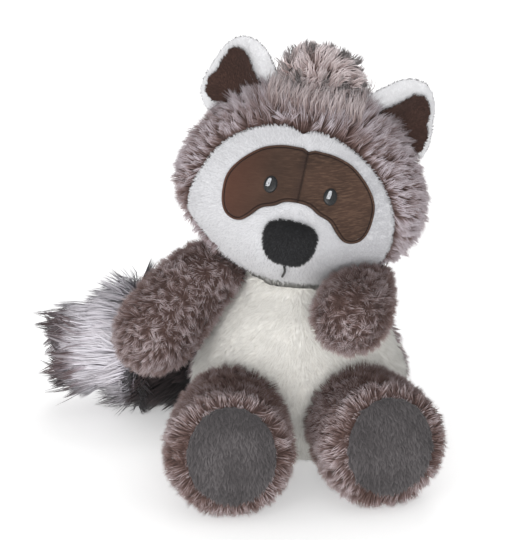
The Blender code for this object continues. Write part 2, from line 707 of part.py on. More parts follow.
def build_leg(word, stations, yaw, torso_room, parts, cutters):
    """One leg, lying forward, with its sole let into the blunt end."""
    leg = limb_form(f"leg_{word}", stations, 0, parts, FOOT_BLUNT)
    flatten_at_floor(leg)
    leg.data.materials.append(fabric("leg_pelt", BROWN))
    sole = limb_form(f"sole_{word}", stations, SOLE_PROUD, cutters, FOOT_BLUNT)
    cutters.objects.unlink(sole)
    parts.objects.link(sole)
    sole.data.materials.append(fabric("sole_plush", SOLE_GREY))

    depth = SOLE_THICKNESS - SOLE_PROUD
    cut(sole, sole_prism(f"sole_outline_{word}", stations, yaw, 0, cutters), "INTERSECT")
    cut(sole, as_cutter(limb_form(f"sole_bed_{word}", stations, -depth, cutters, FOOT_BLUNT)))
    pocket = sole_prism(f"sole_pocket_{word}", stations, yaw, CLEARANCE, cutters)
    cut(pocket, as_cutter(limb_form(f"sole_core_{word}", stations, -depth - CLEARANCE, cutters, FOOT_BLUNT)))
    cut(leg, pocket)
    cut(leg, torso_room)


def sole_prism(name, stations, yaw, grow, cutters):
    """An oval bar that runs out of the foot the way the sole faces."""
    foot, radius = stations[-1]
    bm = bmesh.new()
    bmesh.ops.create_cone(
        bm, cap_ends=True, segments=20, radius1=1.0, radius2=1.0, depth=1.0,
        matrix=Matrix.Rotation(math.pi / 2, 4, "X"),
    )
    size = (SOLE_HALF_WIDTH + grow, 2 * radius, SOLE_HALF_HEIGHT + grow)
    bmesh.ops.scale(bm, verts=bm.verts, vec=size)
    bmesh.ops.translate(bm, verts=bm.verts, vec=(0, -radius, 0))
    bar = add_object(name, bm, cutters)
    bar.location = foot + Vector((0, 0, SOLE_RISE))
    bar.rotation_euler = (0, 0, yaw)
    return as_cutter(bar)


def build_tail(parts, cutters, torso_room):
    """The black root, sewn to the back, and the pale brush, whose hair ends in pointed locks."""
    root_stations = (
        (TAIL_START, TAIL_START_RADIUS),
        (TAIL_MIDDLE, TAIL_MIDDLE_RADIUS),
        (TAIL_SEAM, TAIL_RADIUS),
    )
    brush_stations = (
        (TAIL_SEAM + Vector((BRUSH_OVERLAP, 0, 0)), TAIL_RADIUS + BRUSH_SWELL / 3),
        (TAIL_SEAM + BRUSH_BACK, TAIL_RADIUS + BRUSH_SWELL),
        (TAIL_SEAM + BRUSH_LENGTH, BRUSH_END_RADIUS),
    )
    root = limb_form("tail_root", root_stations, 0, parts, ROOT_BLUNT)
    root.data.materials.append(fabric("black_pelt", BLACK))
    cut(root, torso_room)
    brush = limb_form("tail_brush", brush_stations, 0, parts, lock=BRUSH_LOCK)
    brush.data.materials.append(fabric("brush_hair", BRUSH_GREY))
    cut(brush, as_cutter(limb_form("tail_room", root_stations, CLEARANCE, cutters, ROOT_BLUNT)))


def main():
    clear_scene()
    parts = new_collection("plush_raccoon")
    cutters = new_collection("cutters")
    head = build_head(parts, cutters)
    torso_room = build_body(parts, cutters, head)
    build_tail(parts, cutters, torso_room)


main()
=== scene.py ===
"""The looks of the sitting plush raccoon: pelts, pile, suede mask, embroidery, floor, lamps and camera.

Lengths are in metres. Left is the toy's own, on +X.
"""

import math

import bmesh
import bpy
import numpy as np
from mathutils import Euler, Matrix, Vector
from mathutils import noise as clouds
from mathutils.bvhtree import BVHTree
from mathutils.kdtree import KDTree


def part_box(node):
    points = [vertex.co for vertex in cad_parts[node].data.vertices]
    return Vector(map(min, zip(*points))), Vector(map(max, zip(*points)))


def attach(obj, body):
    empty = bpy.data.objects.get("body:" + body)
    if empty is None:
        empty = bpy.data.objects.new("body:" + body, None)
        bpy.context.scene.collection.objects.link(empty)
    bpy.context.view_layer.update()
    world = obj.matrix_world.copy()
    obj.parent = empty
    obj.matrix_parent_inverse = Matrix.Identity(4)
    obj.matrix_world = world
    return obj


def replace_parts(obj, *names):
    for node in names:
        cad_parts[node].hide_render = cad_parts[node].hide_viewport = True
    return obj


MM = 0.001

# The head, as it is turned on the body
HEAD_PLACE = Vector((1, -8, 150)) * MM
HEAD_TURN = Euler((math.radians(-8), math.radians(11), math.radians(-5.2)))
HEAD_MATRIX = Matrix.Translation(HEAD_PLACE) @ HEAD_TURN.to_matrix().to_4x4()
HEAD_HALF_WIDTH = 65 * MM
HEAD_HALF_DEPTH = 54 * MM
HEAD_HALF_HEIGHT = 54 * MM
CHEEK_SWELL = 0.07
CHEEK_LEVEL = -14 * MM
CHEEK_SPREAD = 26 * MM
MUZZLE_REACH = 19 * MM
MUZZLE_LEVEL = -24 * MM
MUZZLE_HALF_WIDTH = 25 * MM
MUZZLE_HALF_HEIGHT = 20 * MM

# The face is drawn on a plane that leans back inside the head's frame
FACE_PLANE = Matrix.Rotation(math.radians(-12), 4, "X")
FACE_LEVEL = -2.2 * MM
FACE_ASIDE = -2.5 * MM
FACE_SWAY = 0.12
FACE_HALF_WIDTH = 54.5 * MM
FACE_TOP = 28.5 * MM
FACE_BOTTOM = -62 * MM
FACE_BACK = -14 * MM
FACE_THICKNESS = 2.6 * MM
FACE_PILE = 1.0 * MM
MASK_HALF_WIDTH = 39.8 * MM
MASK_TOP = 18.9 * MM
MASK_BOTTOM = -24 * MM
MASK_THICKNESS = 1.3 * MM
SEAM_NOTCH = 1.2 * MM
SEAM_HALF_WIDTH = 0.55 * MM
SEAM_GAP = 0.05 * MM
SEAM_ROWS = [step * MM for step in (0.25, 0.5, 0.8, 1.2, 1.8)]
STITCH_ROWS = [step * MM for step in (0.12, 0.14, 0.16, 0.18, 0.25, 0.25, 0.2, 0.2, 0.2, 0.25, 0.35)]
RIM_RADIUS = 0.5 * MM
STITCH_PLACE = 1.5 * MM
STITCH_DEPTH = 0.55 * MM
STITCH_HALF_WIDTH = 0.3 * MM
BED = 0.1 * MM  # the mask's underside above the face
EYE_CENTRE = Vector((15.5, -3)) * MM
EYE_HALF_WIDTH = 3.5 * MM
EYE_HALF_HEIGHT = 4.6 * MM
NOSE_LEVEL = -30.8 * MM
NOSE_HALF = Vector((13.4, 6.2, 11)) * MM
NOSE_TAPER = 0.14
NOSE_SQUARENESS = 2.7
AHEAD = 0.2  # a distance well in front of the head

FLOOR_GAP = 0.3 * MM
CAMERA_TARGET = Vector((-0.026, 0, 0.0977))
CAMERA_DISTANCE = 1.4
LAMP_TARGET = Vector((0, 0, 0.1))
WHITE = (1.0, 1.0, 1.0, 1.0)
BLACK = (0.0, 0.0, 0.0, 1.0)
ROOT_TO_TIP = "OFBake"  # the map in which v runs along a lock and u from dark locks to pale ones
TINY = 1e-9

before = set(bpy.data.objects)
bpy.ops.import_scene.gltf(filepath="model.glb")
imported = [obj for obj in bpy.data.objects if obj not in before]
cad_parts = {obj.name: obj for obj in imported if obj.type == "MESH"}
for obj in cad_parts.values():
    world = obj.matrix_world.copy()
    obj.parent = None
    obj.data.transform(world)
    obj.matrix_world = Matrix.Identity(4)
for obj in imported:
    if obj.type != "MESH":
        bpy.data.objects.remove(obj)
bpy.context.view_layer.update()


# Colours and materials


def shade(red, green, blue):
    """A colour as it looks on a screen, 0 to 255, turned into the light values that a shader takes."""
    values = []
    for value in (red, green, blue):
        value /= 255
        values.append(value / 12.92 if value <= 0.04045 else ((value + 0.055) / 1.055) ** 2.4)
    return (*values, 1.0)


def stops(*rows):
    """The stops of a colour ramp. Each row has a place and the red, green and blue of its colour."""
    return [(place, shade(*colour)) for place, *colour in rows]


def feed(socket, value):
    """Links an output to an input, or sets the input to a plain value."""
    if isinstance(value, bpy.types.NodeSocket):
        socket.id_data.links.new(value, socket)
    else:
        socket.default_value = value


def add(tree, kind, inputs=None, **settings):
    """Adds a shader node with these settings, and feeds its inputs."""
    node = tree.nodes.new("ShaderNode" + kind)
    for word, value in settings.items():
        setattr(node, word, value)
    for word, value in (inputs or {}).items():
        feed(node.inputs[word], value)
    return node


def new_material(name, roughness=0.9, sheen=0.0, sheen_roughness=0.5, specular=0.2, bloom=WHITE):
    """Bloom is the tint of the sheen that hair or cloth shows along its outline."""
    material = bpy.data.materials.new(name)
    material.use_nodes = True
    shader = material.node_tree.nodes["Principled BSDF"]
    for word, value in (
        ("Roughness", roughness),
        ("Sheen Weight", sheen),
        ("Sheen Roughness", sheen_roughness),
        ("Sheen Tint", bloom),
        ("Specular IOR Level", specular),
    ):
        shader.inputs[word].default_value = value
    return material, material.node_tree, shader


def ramp(tree, factor, colours):
    node = add(tree, "ValToRGB", {"Fac": factor})
    elements = node.color_ramp.elements
    while len(elements) < len(colours):
        elements.new(0.5)
    for element, (place, colour) in zip(elements, colours):
        element.position = place
        element.color = colour
    return node.outputs["Color"]


def mixed(tree, first, second, factor, blend="MIX"):
    """Mixes two colours. They and the factor are outputs or plain values."""
    node = add(tree, "Mix", {"Factor": factor}, data_type="RGBA", blend_type=blend)
    for name, value in (("A", first), ("B", second)):
        feed(next(s for s in node.inputs if s.name == name and s.type == "RGBA"), value)
    return next(s for s in node.outputs if s.type == "RGBA")


def product(tree, first, second):
    return add(tree, "Math", {0: first, 1: second}, operation="MULTIPLY").outputs["Value"]


def ranged(tree, value, start, end, low=0.0, high=1.0):
    """Low up to where the value is start, high from where it is end, and even between them."""
    inputs = {"Value": value, "From Min": start, "From Max": end, "To Min": low, "To Max": high}
    return add(tree, "MapRange", inputs).outputs["Result"]


def stretched(tree, scale=(1, 1, 1), rotation=(0, 0, 0)):
    """The object's own coordinates, turned and stretched."""
    place = add(tree, "TexCoord").outputs["Object"]
    return add(tree, "Mapping", {"Vector": place, "Rotation": rotation, "Scale": scale}).outputs["Vector"]


def noise(tree, vector, scale=1.0, detail=2.0, roughness=0.5):
    inputs = {"Vector": vector, "Scale": scale, "Detail": detail, "Roughness": roughness}
    return add(tree, "TexNoise", inputs).outputs["Fac"]


def cover(tree, shader, colour, height, strength, depth):
    """Gives the shader its colour, and a relief with this height."""
    relief = add(tree, "Bump", {"Strength": strength, "Distance": depth, "Height": height})
    feed(shader.inputs["Normal"], relief.outputs["Normal"])
    feed(shader.inputs["Base Color"], colour)


def pile_material(name, dark, pale, sheen=0.3, streak=0.75, bloom=WHITE):
    """Hair whose colour runs from root to tip, and from the darkest locks to the palest."""
    material, tree, shader = new_material(name, 0.85, sheen, bloom=bloom)
    strand = add(tree, "UVMap", uv_map=ROOT_TO_TIP).outputs["UV"]
    place = add(tree, "SeparateXYZ", {"Vector": strand}).outputs
    colour = mixed(tree, ramp(tree, place["Y"], dark), ramp(tree, place["Y"], pale), place["X"])
    streaks = add(tree, "Mapping", {"Vector": strand, "Scale": (90.0, 2.0, 1.0)}).outputs["Vector"]
    grain = ramp(tree, noise(tree, streaks), ((0.3, (streak, streak, streak, 1)), (0.7, WHITE)))
    feed(shader.inputs["Base Color"], mixed(tree, colour, grain, 1.0, "MULTIPLY"))
    return material


def cloth_material(name, first, second, scale=700.0, sheen=0.3):
    """Short napped cloth: two tones in fine grains, with the same grains as its relief."""
    material, tree, shader = new_material(name, 0.9, sheen)
    grains = noise(tree, stretched(tree), scale, 3.0, 0.6)
    tones = ramp(tree, grains, stops((0.35, *first), (0.65, *second)))
    cover(tree, shader, tones, grains, 0.3, 0.4 * MM)
    return material


BROWN_DARK = stops((0.0, 70, 53, 49), (0.4, 98, 77, 72), (0.7, 140, 118, 115), (1.0, 188, 170, 172))
BROWN_PALE = stops((0.0, 84, 66, 62), (0.3, 124, 104, 101), (0.55, 196, 184, 190), (1.0, 246, 240, 248))
CURLY_DARK = stops((0.0, 62, 47, 43), (0.4, 90, 69, 64), (0.75, 120, 97, 92), (1.0, 156, 132, 126))
CURLY_PALE = stops((0.0, 78, 62, 59), (0.4, 126, 106, 103), (0.7, 192, 177, 179), (1.0, 244, 236, 240))
BLOOM = shade(226, 188, 178)
CREST_DARK = stops((0.0, 104, 84, 79), (0.4, 140, 118, 114), (0.75, 172, 152, 150), (1.0, 202, 184, 183))
CREST_PALE = stops((0.0, 126, 106, 102), (0.4, 180, 162, 160), (0.75, 222, 208, 208), (1.0, 246, 237, 239))
# The face's white is its own copy of the white plush, made darker for painted shade and paler for painted
# light.
FACE_SHADED_DARK = stops((0.0, 184, 184, 188), (0.5, 192, 192, 196), (1.0, 196, 196, 200))
FACE_LIT_PALE = stops((0.0, 228, 228, 230), (0.5, 240, 240, 242), (1.0, 247, 247, 249))
WHITE_DARK = stops((0.0, 210, 210, 212), (0.5, 219, 219, 221), (1.0, 223, 223, 225))
WHITE_PALE = stops((0.0, 220, 220, 222), (0.5, 229, 229, 231), (1.0, 233, 233, 235))
# The belly's white is a warmer, brighter copy of the white plush; part of its brightness is painted light
# that lifts the shade between the arms and legs.
CREAM_DARK = stops((0.0, 222, 219, 212), (0.5, 234, 232, 225), (1.0, 240, 238, 232))
CREAM_PALE = stops((0.0, 230, 227, 220), (0.5, 244, 242, 236), (1.0, 250, 248, 244))
BLACK_DARK = stops((0.0, 24, 20, 21), (0.7, 34, 28, 29), (1.0, 60, 48, 48))
BLACK_PALE = stops((0.0, 34, 29, 30), (0.7, 52, 44, 45), (1.0, 98, 84, 84))
BRUSH_DARK = stops((0.0, 168, 160, 170), (0.35, 180, 170, 178), (0.6, 96, 76, 76), (1.0, 58, 42, 42))
BRUSH_PALE = stops((0.0, 212, 206, 216), (0.55, 242, 239, 246), (0.9, 238, 233, 240), (1.0, 206, 193, 199))
SOLE_DARK = stops((0.0, 58, 55, 56), (1.0, 84, 80, 81))
SOLE_PALE = stops((0.0, 76, 73, 74), (1.0, 116, 111, 112))
NOSE_DARK = stops((0.0, 30, 30, 31), (1.0, 40, 40, 42))
NOSE_PALE = stops((0.0, 38, 38, 40), (1.0, 60, 60, 62))
LINING_DARK = stops((0.0, 48, 33, 29), (1.0, 66, 46, 40))
LINING_PALE = stops((0.0, 62, 43, 38), (1.0, 92, 66, 57))


def fur(slot, pile, dark, pale, cloth, first, second, grain=700.0, sheen=0.3, streak=0.75, bloom=WHITE):
    """A pile and the cloth that it grows from, each with the slot that they share."""
    hair = pile_material(pile, dark, pale, sheen, streak, bloom)
    return (hair, slot), (cloth_material(cloth, first, second, grain), slot)


BROWN_PILE, BROWN_CLOTH = fur("brown_pelt", "brown_pile", BROWN_DARK, BROWN_PALE,
                              "brown_backing", (66, 50, 46), (88, 68, 63), sheen=0.2, bloom=BLOOM)
CURLY_PILE = pile_material("curly_pile", CURLY_DARK, CURLY_PALE, bloom=BLOOM), "brown_pelt"
CREST_PILE, CREST_CLOTH = fur("forelock_hair", "crest_pile", CREST_DARK, CREST_PALE,
                              "crest_backing", (98, 77, 72), (120, 97, 92))
WHITE_PILE, WHITE_CLOTH = fur("white_plush", "ear_white_pile", WHITE_DARK, WHITE_PALE,
                              "white_backing", (214, 214, 216), (228, 228, 230), sheen=0.25, streak=0.92)
# A warmer, brighter copy of the white plush: partly painted light.
CREAM_PILE, CREAM_CLOTH = fur("white_plush", "belly_white_pile", CREAM_DARK, CREAM_PALE,
                              "cream_backing", (214, 211, 204), (230, 228, 221), sheen=0.25, streak=0.88)
BLACK_PILE, BLACK_CLOTH = fur("black_pelt", "black_pile", BLACK_DARK, BLACK_PALE,
                              "black_backing", (20, 17, 18), (32, 28, 29), sheen=0.2)
BRUSH_PILE, BRUSH_CLOTH = fur("brush_hair", "brush_pile", BRUSH_DARK, BRUSH_PALE,
                              "brush_backing", (160, 152, 160), (186, 178, 186), sheen=0.08)
SOLE_PILE, SOLE_CLOTH = fur("sole_plush", "sole_pile", SOLE_DARK, SOLE_PALE,
                            "sole_backing", (58, 55, 56), (76, 72, 73), 900.0, sheen=0.4)
LINING_PILE, LINING_CLOTH = fur("ear_lining", "lining_pile", LINING_DARK, LINING_PALE,
                                "lining_backing", (44, 30, 26), (60, 42, 36), 900.0)


# Making pieces


def deselect():
    if bpy.context.mode != "OBJECT":
        bpy.ops.object.mode_set(mode="OBJECT")
    bpy.ops.object.select_all(action="DESELECT")


def make_active(obj):
    deselect()
    obj.select_set(True)
    bpy.context.view_layer.objects.active = obj


def edit(obj):
    """Opens the mesh for editing, with all of it selected."""
    make_active(obj)
    bpy.ops.object.mode_set(mode="EDIT")
    select_mesh()


def select_mesh():
    bpy.ops.mesh.select_all(action="SELECT")


def leave_edit():
    bpy.ops.object.mode_set(mode="OBJECT")


def bisect(place, way, **settings):
    """Cuts the whole open mesh along a plane."""
    select_mesh()
    bpy.ops.mesh.bisect(plane_co=place, plane_no=way, **settings)


def apply(obj, kind, **settings):
    """Adds one modifier with these settings and applies it."""
    modifier = obj.modifiers.new(kind.lower(), kind)
    for name, value in settings.items():
        setattr(modifier, name, value)
    make_active(obj)
    bpy.ops.object.modifier_apply(modifier=modifier.name)


def tree_of(obj):
    """The mesh's surface, for rays to hit."""
    faces = [list(face.vertices) for face in obj.data.polygons]
    return BVHTree.FromPolygons([vert.co for vert in obj.data.vertices], faces)


def dress(obj, coat, smooth=True):
    """Gives a piece its material."""
    material, slot = coat
    obj.data.materials.clear()
    obj.data.materials.append(material)
    if smooth:
        obj.data.shade_smooth()
    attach(obj, "root")
    return obj


def rows_of(elements, word, kind=np.float64):
    """One property of all elements that has three parts, with a row for each element."""
    flat = np.empty(len(elements) * 3, kind)
    elements.foreach_get(word, flat)
    return flat.reshape(-1, 3)


def points_of(obj):
    return rows_of(obj.data.vertices, "co")


def set_points(obj, points):
    obj.data.vertices.foreach_set("co", np.asarray(points, np.float32).ravel())
    obj.data.update()


def keep_largest(obj):
    """Deletes all but the biggest connected part of the mesh."""
    bm = bmesh.new()
    bm.from_mesh(obj.data)
    left = set(bm.verts)
    islands = []
    while left:
        stack = [left.pop()]
        island = set(stack)
        while stack:
            fresh = {vert for edge in stack.pop().link_edges for vert in edge.verts} & left
            left -= fresh
            island |= fresh
            stack += fresh
        islands.append(island)
    islands.sort(key=len)
    for island in islands[:-1]:
        bmesh.ops.delete(bm, geom=list(island), context="VERTS")
    bm.to_mesh(obj.data)
    bm.free()


FILLING_FRAMES = 20


def inflate(obj, limit):
    """Fills the cloth with air, and lets no point move further than the limit."""
    before = points_of(obj)
    cloth = obj.modifiers.new("filling", "CLOTH")
    cloth.settings.use_pressure = True
    cloth.settings.uniform_pressure_force = 4.0
    cloth.settings.effector_weights.gravity = 0.0
    scene = bpy.context.scene
    for number in range(1, FILLING_FRAMES + 1):
        scene.frame_set(number)
    evaluated = obj.evaluated_get(bpy.context.evaluated_depsgraph_get())
    step = rows_of(evaluated.data.vertices, "co") - before
    obj.modifiers.remove(cloth)
    scene.frame_set(1)
    length = np.linalg.norm(step, axis=1, keepdims=True)
    step *= np.minimum(1.0, limit / np.maximum(length, TINY))
    set_points(obj, before + step)


def stuffed(name, node, coat, depth, voxel, smoothing=8, air=0.0):
    """The cloth of a stuffed piece: its solid's surface, drawn in by the depth of the pile.

    Air is how far the cloth may swell and sag when it is filled.
    """
    obj = bpy.data.objects.new(name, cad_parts[node].data.copy())
    bpy.context.scene.collection.objects.link(obj)
    edit(obj)
    bpy.ops.mesh.remove_doubles(threshold=0.01 * MM)
    leave_edit()
    apply(obj, "REMESH", mode="VOXEL", voxel_size=voxel)
    keep_largest(obj)
    if air:
        inflate(obj, air)
        depth += air / 2
    apply(obj, "SMOOTH", factor=0.5, iterations=smoothing)
    apply(obj, "DISPLACE", strength=-depth, mid_level=0.0)
    apply(obj, "SMOOTH", factor=0.5, iterations=smoothing // 2)
    points = points_of(obj)
    points[:, 2] = np.maximum(points[:, 2], FLOOR_GAP)
    set_points(obj, points)
    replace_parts(obj, node)
    return dress(obj, coat)


def middle_of(node):
    low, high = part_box(node)
    return np.array((low + high) / 2)


# Pile

WELD = 1e-4


def lock_shape(*rings):
    """One lock, modelled once: a three-sided spike, and rings given as a share of its length and a width.

    A lock with rings starts in a point, which the pelt hides. One without is widest at its root.
    """
    deselect()
    bpy.ops.mesh.primitive_cone_add(vertices=3, radius1=1, depth=1, location=(0, 0, 0.5))
    obj = bpy.context.object
    obj.data.transform(obj.matrix_world)
    obj.matrix_world = Matrix.Identity(4)
    edit(obj)
    for level, _ in rings:
        bisect((0, 0, level), (0, 0, 1))
    select_mesh()
    bpy.ops.mesh.quads_convert_to_tris()
    leave_edit()
    points = points_of(obj)
    for level, width in rings:
        points[abs(points[:, 2] - level) < WELD, :2] *= width / (1 - level)
    if rings:
        points[points[:, 2] < WELD, :2] = 0
    set_points(obj, points)
    edit(obj)
    bpy.ops.mesh.remove_doubles(threshold=WELD)
    leave_edit()
    points = points_of(obj)
    triangles = np.array([tuple(face.vertices) for face in obj.data.polygons])
    bpy.data.objects.remove(obj)
    return points, triangles


STUB = lock_shape()
TUFT = lock_shape((0.42, 1.0))
CURL = lock_shape((0.3, 1.0), (0.65, 0.75))


def solid_tree(left_out):
    """What the pile of a piece can run into: every solid except those left out."""
    corners, faces, start = [], [], 0
    for node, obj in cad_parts.items():
        if node in left_out:
            continue
        corners += [vert.co.copy() for vert in obj.data.vertices]
        faces += [[start + index for index in face.vertices] for face in obj.data.polygons]
        start = len(corners)
    return BVHTree.FromPolygons(corners, faces)


def unit(vectors):
    return vectors / np.maximum(np.linalg.norm(vectors, axis=-1, keepdims=True), TINY)


def between(value, start, end):
    """0 up to where the value is start, 1 from where it is end, and even between them."""
    return np.clip((value - start) / (end - start), 0, 1)


def along(*way):
    """A flow that runs the same way everywhere."""
    def flow(roots, outward):
        return np.tile(np.array(way, float), (len(roots), 1))
    return flow


downward = along(0, 0, -1)


def spread(obj, per_square_cm, rng):
    """Roots spread evenly over the surface, with the surface's smooth normals there."""
    mesh = obj.data
    mesh.calc_loop_triangles()
    corners = rows_of(mesh.loop_triangles, "vertices", np.int32)
    points = points_of(obj)
    normals = rows_of(mesh.vertex_normals, "vector")
    a, b, c = (points[corners[:, k]] for k in range(3))
    area = np.linalg.norm(np.cross(b - a, c - a), axis=1) / 2
    total = area.sum()
    count = int(total * 1e4 * per_square_cm)
    places = (np.arange(count) + rng.random(count)) / count * total
    index = np.minimum(np.searchsorted(np.cumsum(area), places), len(area) - 1)
    first = np.sqrt(rng.random(count))[:, None]
    second = rng.random(count)[:, None]
    shares = np.hstack([1 - first, first * (1 - second), first * second])
    roots = sum(points[corners[index, k]] * shares[:, k : k + 1] for k in range(3))
    outward = sum(normals[corners[index, k]] * shares[:, k : k + 1] for k in range(3))
    return roots, unit(outward)


def room_above(roots, outward, tree, reach):
    """How far each root's hair can stand before it meets another piece."""
    free = np.full(len(roots), reach)
    for index, (root, normal) in enumerate(zip(roots, outward)):
        hit = tree.ray_cast(Vector(root) + Vector(normal) * 0.1 * MM, Vector(normal), reach)
        if hit[3] is not None:
            free[index] = hit[3]
    return free


def nearest_clump(roots, centres):
    tree = KDTree(len(centres))
    for index, centre in enumerate(centres):
        tree.insert(centre, index)
    tree.balance()
    return np.array([tree.find(root)[1] for root in roots])


def plant(name, base, shape, coat, seed, per_square_cm, length, width, flow, lean=0.6, clump=3.0 * MM,
          pull=0.45, curl=0.4, wave=0.0, tone=0.5, tone_spread=0.25, left_out=(), keep=None,
          least_room=2.2 * MM, roundness=0.25, mottle=0.25, stray=0.0, unrest=0.06):
    """Grows one piece of pile on a pelt. The coat is its material, with a slot that is not used.

    Flow gives the way that the hair lies, lean how flat it lies, clump the distance between tufts, pull how
    far the locks of a tuft come together at their tips, and curl how far a tuft turns away from the flow.
    Roundness is the share of a lock's shading that comes from its own round, and not from the pelt. Mottle
    is how much the tone of whole patches changes, stray the share of single pale hairs, and unrest how much
    the lean changes from tuft to tuft. Left out are the nodes that the hair may stand in.
    """
    rng = np.random.default_rng(seed)
    roots, outward = spread(base, per_square_cm, rng)
    resting = (roots[:, 2] < 1.5 * MM) & (outward[:, 2] < -0.5)
    wanted = ~resting
    if keep is not None:
        wanted &= keep(roots, outward)
    roots, outward = roots[wanted], outward[wanted]
    lengths = length(roots, outward) if callable(length) else np.full(len(roots), length)
    free = room_above(roots, outward, solid_tree(left_out), 2.5 * lengths.max())
    wanted = free > least_room
    roots, outward, lengths, free = roots[wanted], outward[wanted], lengths[wanted], free[wanted]
    count = len(roots)

    way = flow(roots, outward)
    way = unit(way - outward * np.sum(way * outward, axis=1, keepdims=True))
    tufts = max(1, int(base_area(base) / clump ** 2 * 0.9))
    leaders = rng.choice(count, min(tufts, count), replace=False)
    tuft = nearest_clump(roots, roots[leaders])
    turn = rng.normal(0, curl, len(leaders))[tuft] + rng.normal(0, 0.18, count)
    aside = np.cross(outward, way)
    way = way * np.cos(turn)[:, None] + aside * np.sin(turn)[:, None]
    leans = lean(roots, outward) if callable(lean) else np.full(count, lean)
    leans = leans + rng.normal(0, 0.06, count) + rng.normal(0, unrest, len(leaders))[tuft]
    leans = np.clip(leans, 0.0, 0.97)[:, None]
    lengths = lengths * rng.uniform(0.8, 1.15, count) * rng.uniform(0.85, 1.12, len(leaders))[tuft]
    lengths = np.minimum(lengths, 1.1 * free)[:, None]

    rise = outward * np.sqrt(1 - leans ** 2) + way * leans
    tips = roots + rise * lengths
    tips += pull * (tips[leaders][tuft] - tips)
    bend = unit(outward * (1.15 - leans) + way * 0.5 * leans)
    middles = roots + bend * 0.55 * lengths
    middles += 0.3 * pull * (middles[leaders][tuft] - middles)

    form, triangles = shape
    share = form[:, 2][None, :, None]
    roots, middles, tips = roots[:, None], middles[:, None], tips[:, None]
    centre = (1 - share) ** 2 * roots + 2 * share * (1 - share) * middles + share ** 2 * tips
    forward = unit((1 - share) * (middles - roots) + share * (tips - middles))
    side = unit(np.cross(rise, outward + 0.01) + 0.2 * rng.normal(0, 1, (count, 3)))[:, None]
    side = unit(side - forward * np.sum(side * forward, axis=2, keepdims=True))
    over = np.cross(forward, side)
    widths = (width * rng.uniform(0.75, 1.25, count))[:, None, None]
    centre = centre + side * (wave * np.sin(2 * math.pi * share) * lengths[:, None])
    points = centre + widths * (side * form[None, :, :1] + 0.7 * over * form[None, :, 1:2])
    points = points.reshape(-1, 3)
    points[:, 2] = np.maximum(points[:, 2], FLOOR_GAP)

    tones = tone(roots[:, 0], outward) if callable(tone) else np.full(count, tone)
    patches = np.array([clouds.noise(Vector(root) * 75) for root in roots[leaders, 0]])
    tones = tones + rng.normal(0, tone_spread, count) + rng.normal(0, tone_spread * 0.6, len(leaders))[tuft]
    tones = tones + 2 * mottle * patches[tuft] + 0.55 * (rng.random(count) < stray)
    tones = np.clip(tones, 0.02, 0.94)
    faces = (triangles[None] + (np.arange(count) * len(form))[:, None, None]).reshape(-1, 3)
    around = (np.arctan2(form[:, 1], form[:, 0]) / math.pi + 1) / 2
    level = np.broadcast_to(form[:, 2], (count, len(form)))
    strand = np.stack([tones[:, None] + 0.05 * around, level], axis=2)
    round_way = unit(form[:, :2])
    own = side * round_way[None, :, :1] + over * round_way[None, :, 1:2]
    normals = unit((outward[:, None] * (1 - roundness) + own * roundness).reshape(-1, 3))
    return pile_piece(name, points, faces, strand.reshape(-1, 2), normals, coat)


def base_area(obj):
    return sum(face.area for face in obj.data.polygons)


def pile_piece(name, points, faces, strand, normals, coat):
    mesh = bpy.data.meshes.new(name)
    mesh.vertices.add(len(points))
    mesh.vertices.foreach_set("co", points.astype(np.float32).ravel())
    mesh.loops.add(len(faces) * 3)
    mesh.loops.foreach_set("vertex_index", faces.astype(np.int32).ravel())
    mesh.polygons.add(len(faces))
    mesh.polygons.foreach_set("loop_start", np.arange(0, len(faces) * 3, 3, dtype=np.int32))
    mesh.update(calc_edges=True)
    layer = mesh.uv_layers.new(name=ROOT_TO_TIP)
    layer.data.foreach_set("uv", strand[faces.ravel()].astype(np.float32).ravel())
    mesh.shade_smooth()
    mesh.normals_split_custom_set_from_vertices(normals.astype(np.float32))
    obj = bpy.data.objects.new(name, mesh)
    bpy.context.scene.collection.objects.link(obj)
    return dress(obj, coat, smooth=False)


# Head


def bump(distance):
    return np.exp(-distance * distance)


def head_ball(name, offset, segments=96, rings=64):
    """The head's smooth surface in its own frame, swollen by the offset."""
    deselect()
    bpy.ops.mesh.primitive_uv_sphere_add(segments=segments, ring_count=rings, radius=1.0)
    obj = bpy.context.object
    obj.name = name
    x, y, z = points_of(obj).T
    front = np.maximum(0.0, -y)
    z = z * HEAD_HALF_HEIGHT
    x = x * HEAD_HALF_WIDTH * (1 + CHEEK_SWELL * bump((z - CHEEK_LEVEL) / CHEEK_SPREAD))
    muzzle = MUZZLE_REACH * bump(x / MUZZLE_HALF_WIDTH) * bump((z - MUZZLE_LEVEL) / MUZZLE_HALF_HEIGHT)
    y = y * HEAD_HALF_DEPTH - muzzle * np.minimum(1.0, 2 * front)
    set_points(obj, np.stack([x, y, z], axis=1))
    if offset:
        apply(obj, "DISPLACE", strength=offset, mid_level=0.0)
    return obj


def rounded(points, steps=6):
    """A closed smooth curve through the points."""
    smooth = []
    count = len(points)
    for index in range(count):
        a, b, c, d = (Vector(points[(index + k) % count]) for k in (-1, 0, 1, 2))
        for step in range(steps):
            t = step / steps
            bend = 2 * a - 5 * b + 4 * c - d + t * (3 * (b - c) + d - a)
            smooth.append(b + 0.5 * t * (c - a + t * bend))
    return smooth


def face_outline():
    """The white face: a heart that dips at the top middle, full at the cheeks and runs under the chin."""
    half = (
        (0.00, 0.93, 1), (0.15, 1.00, 1), (0.42, 0.88, 1), (0.73, 0.51, 1), (0.93, -0.05, 1),
        (1.00, 0.25, -1), (0.95, 0.48, -1), (0.72, 0.74, -1), (0.38, 0.94, -1), (0.00, 1.00, -1),
    )
    right = [(x * FACE_HALF_WIDTH, level * (FACE_TOP if up > 0 else FACE_BOTTOM)) for x, level, up in half]
    left = [(-x, level) for x, level in right[-2:0:-1]]
    return rounded([(x + FACE_ASIDE - FACE_SWAY * max(0, level), level) for x, level in right + left])


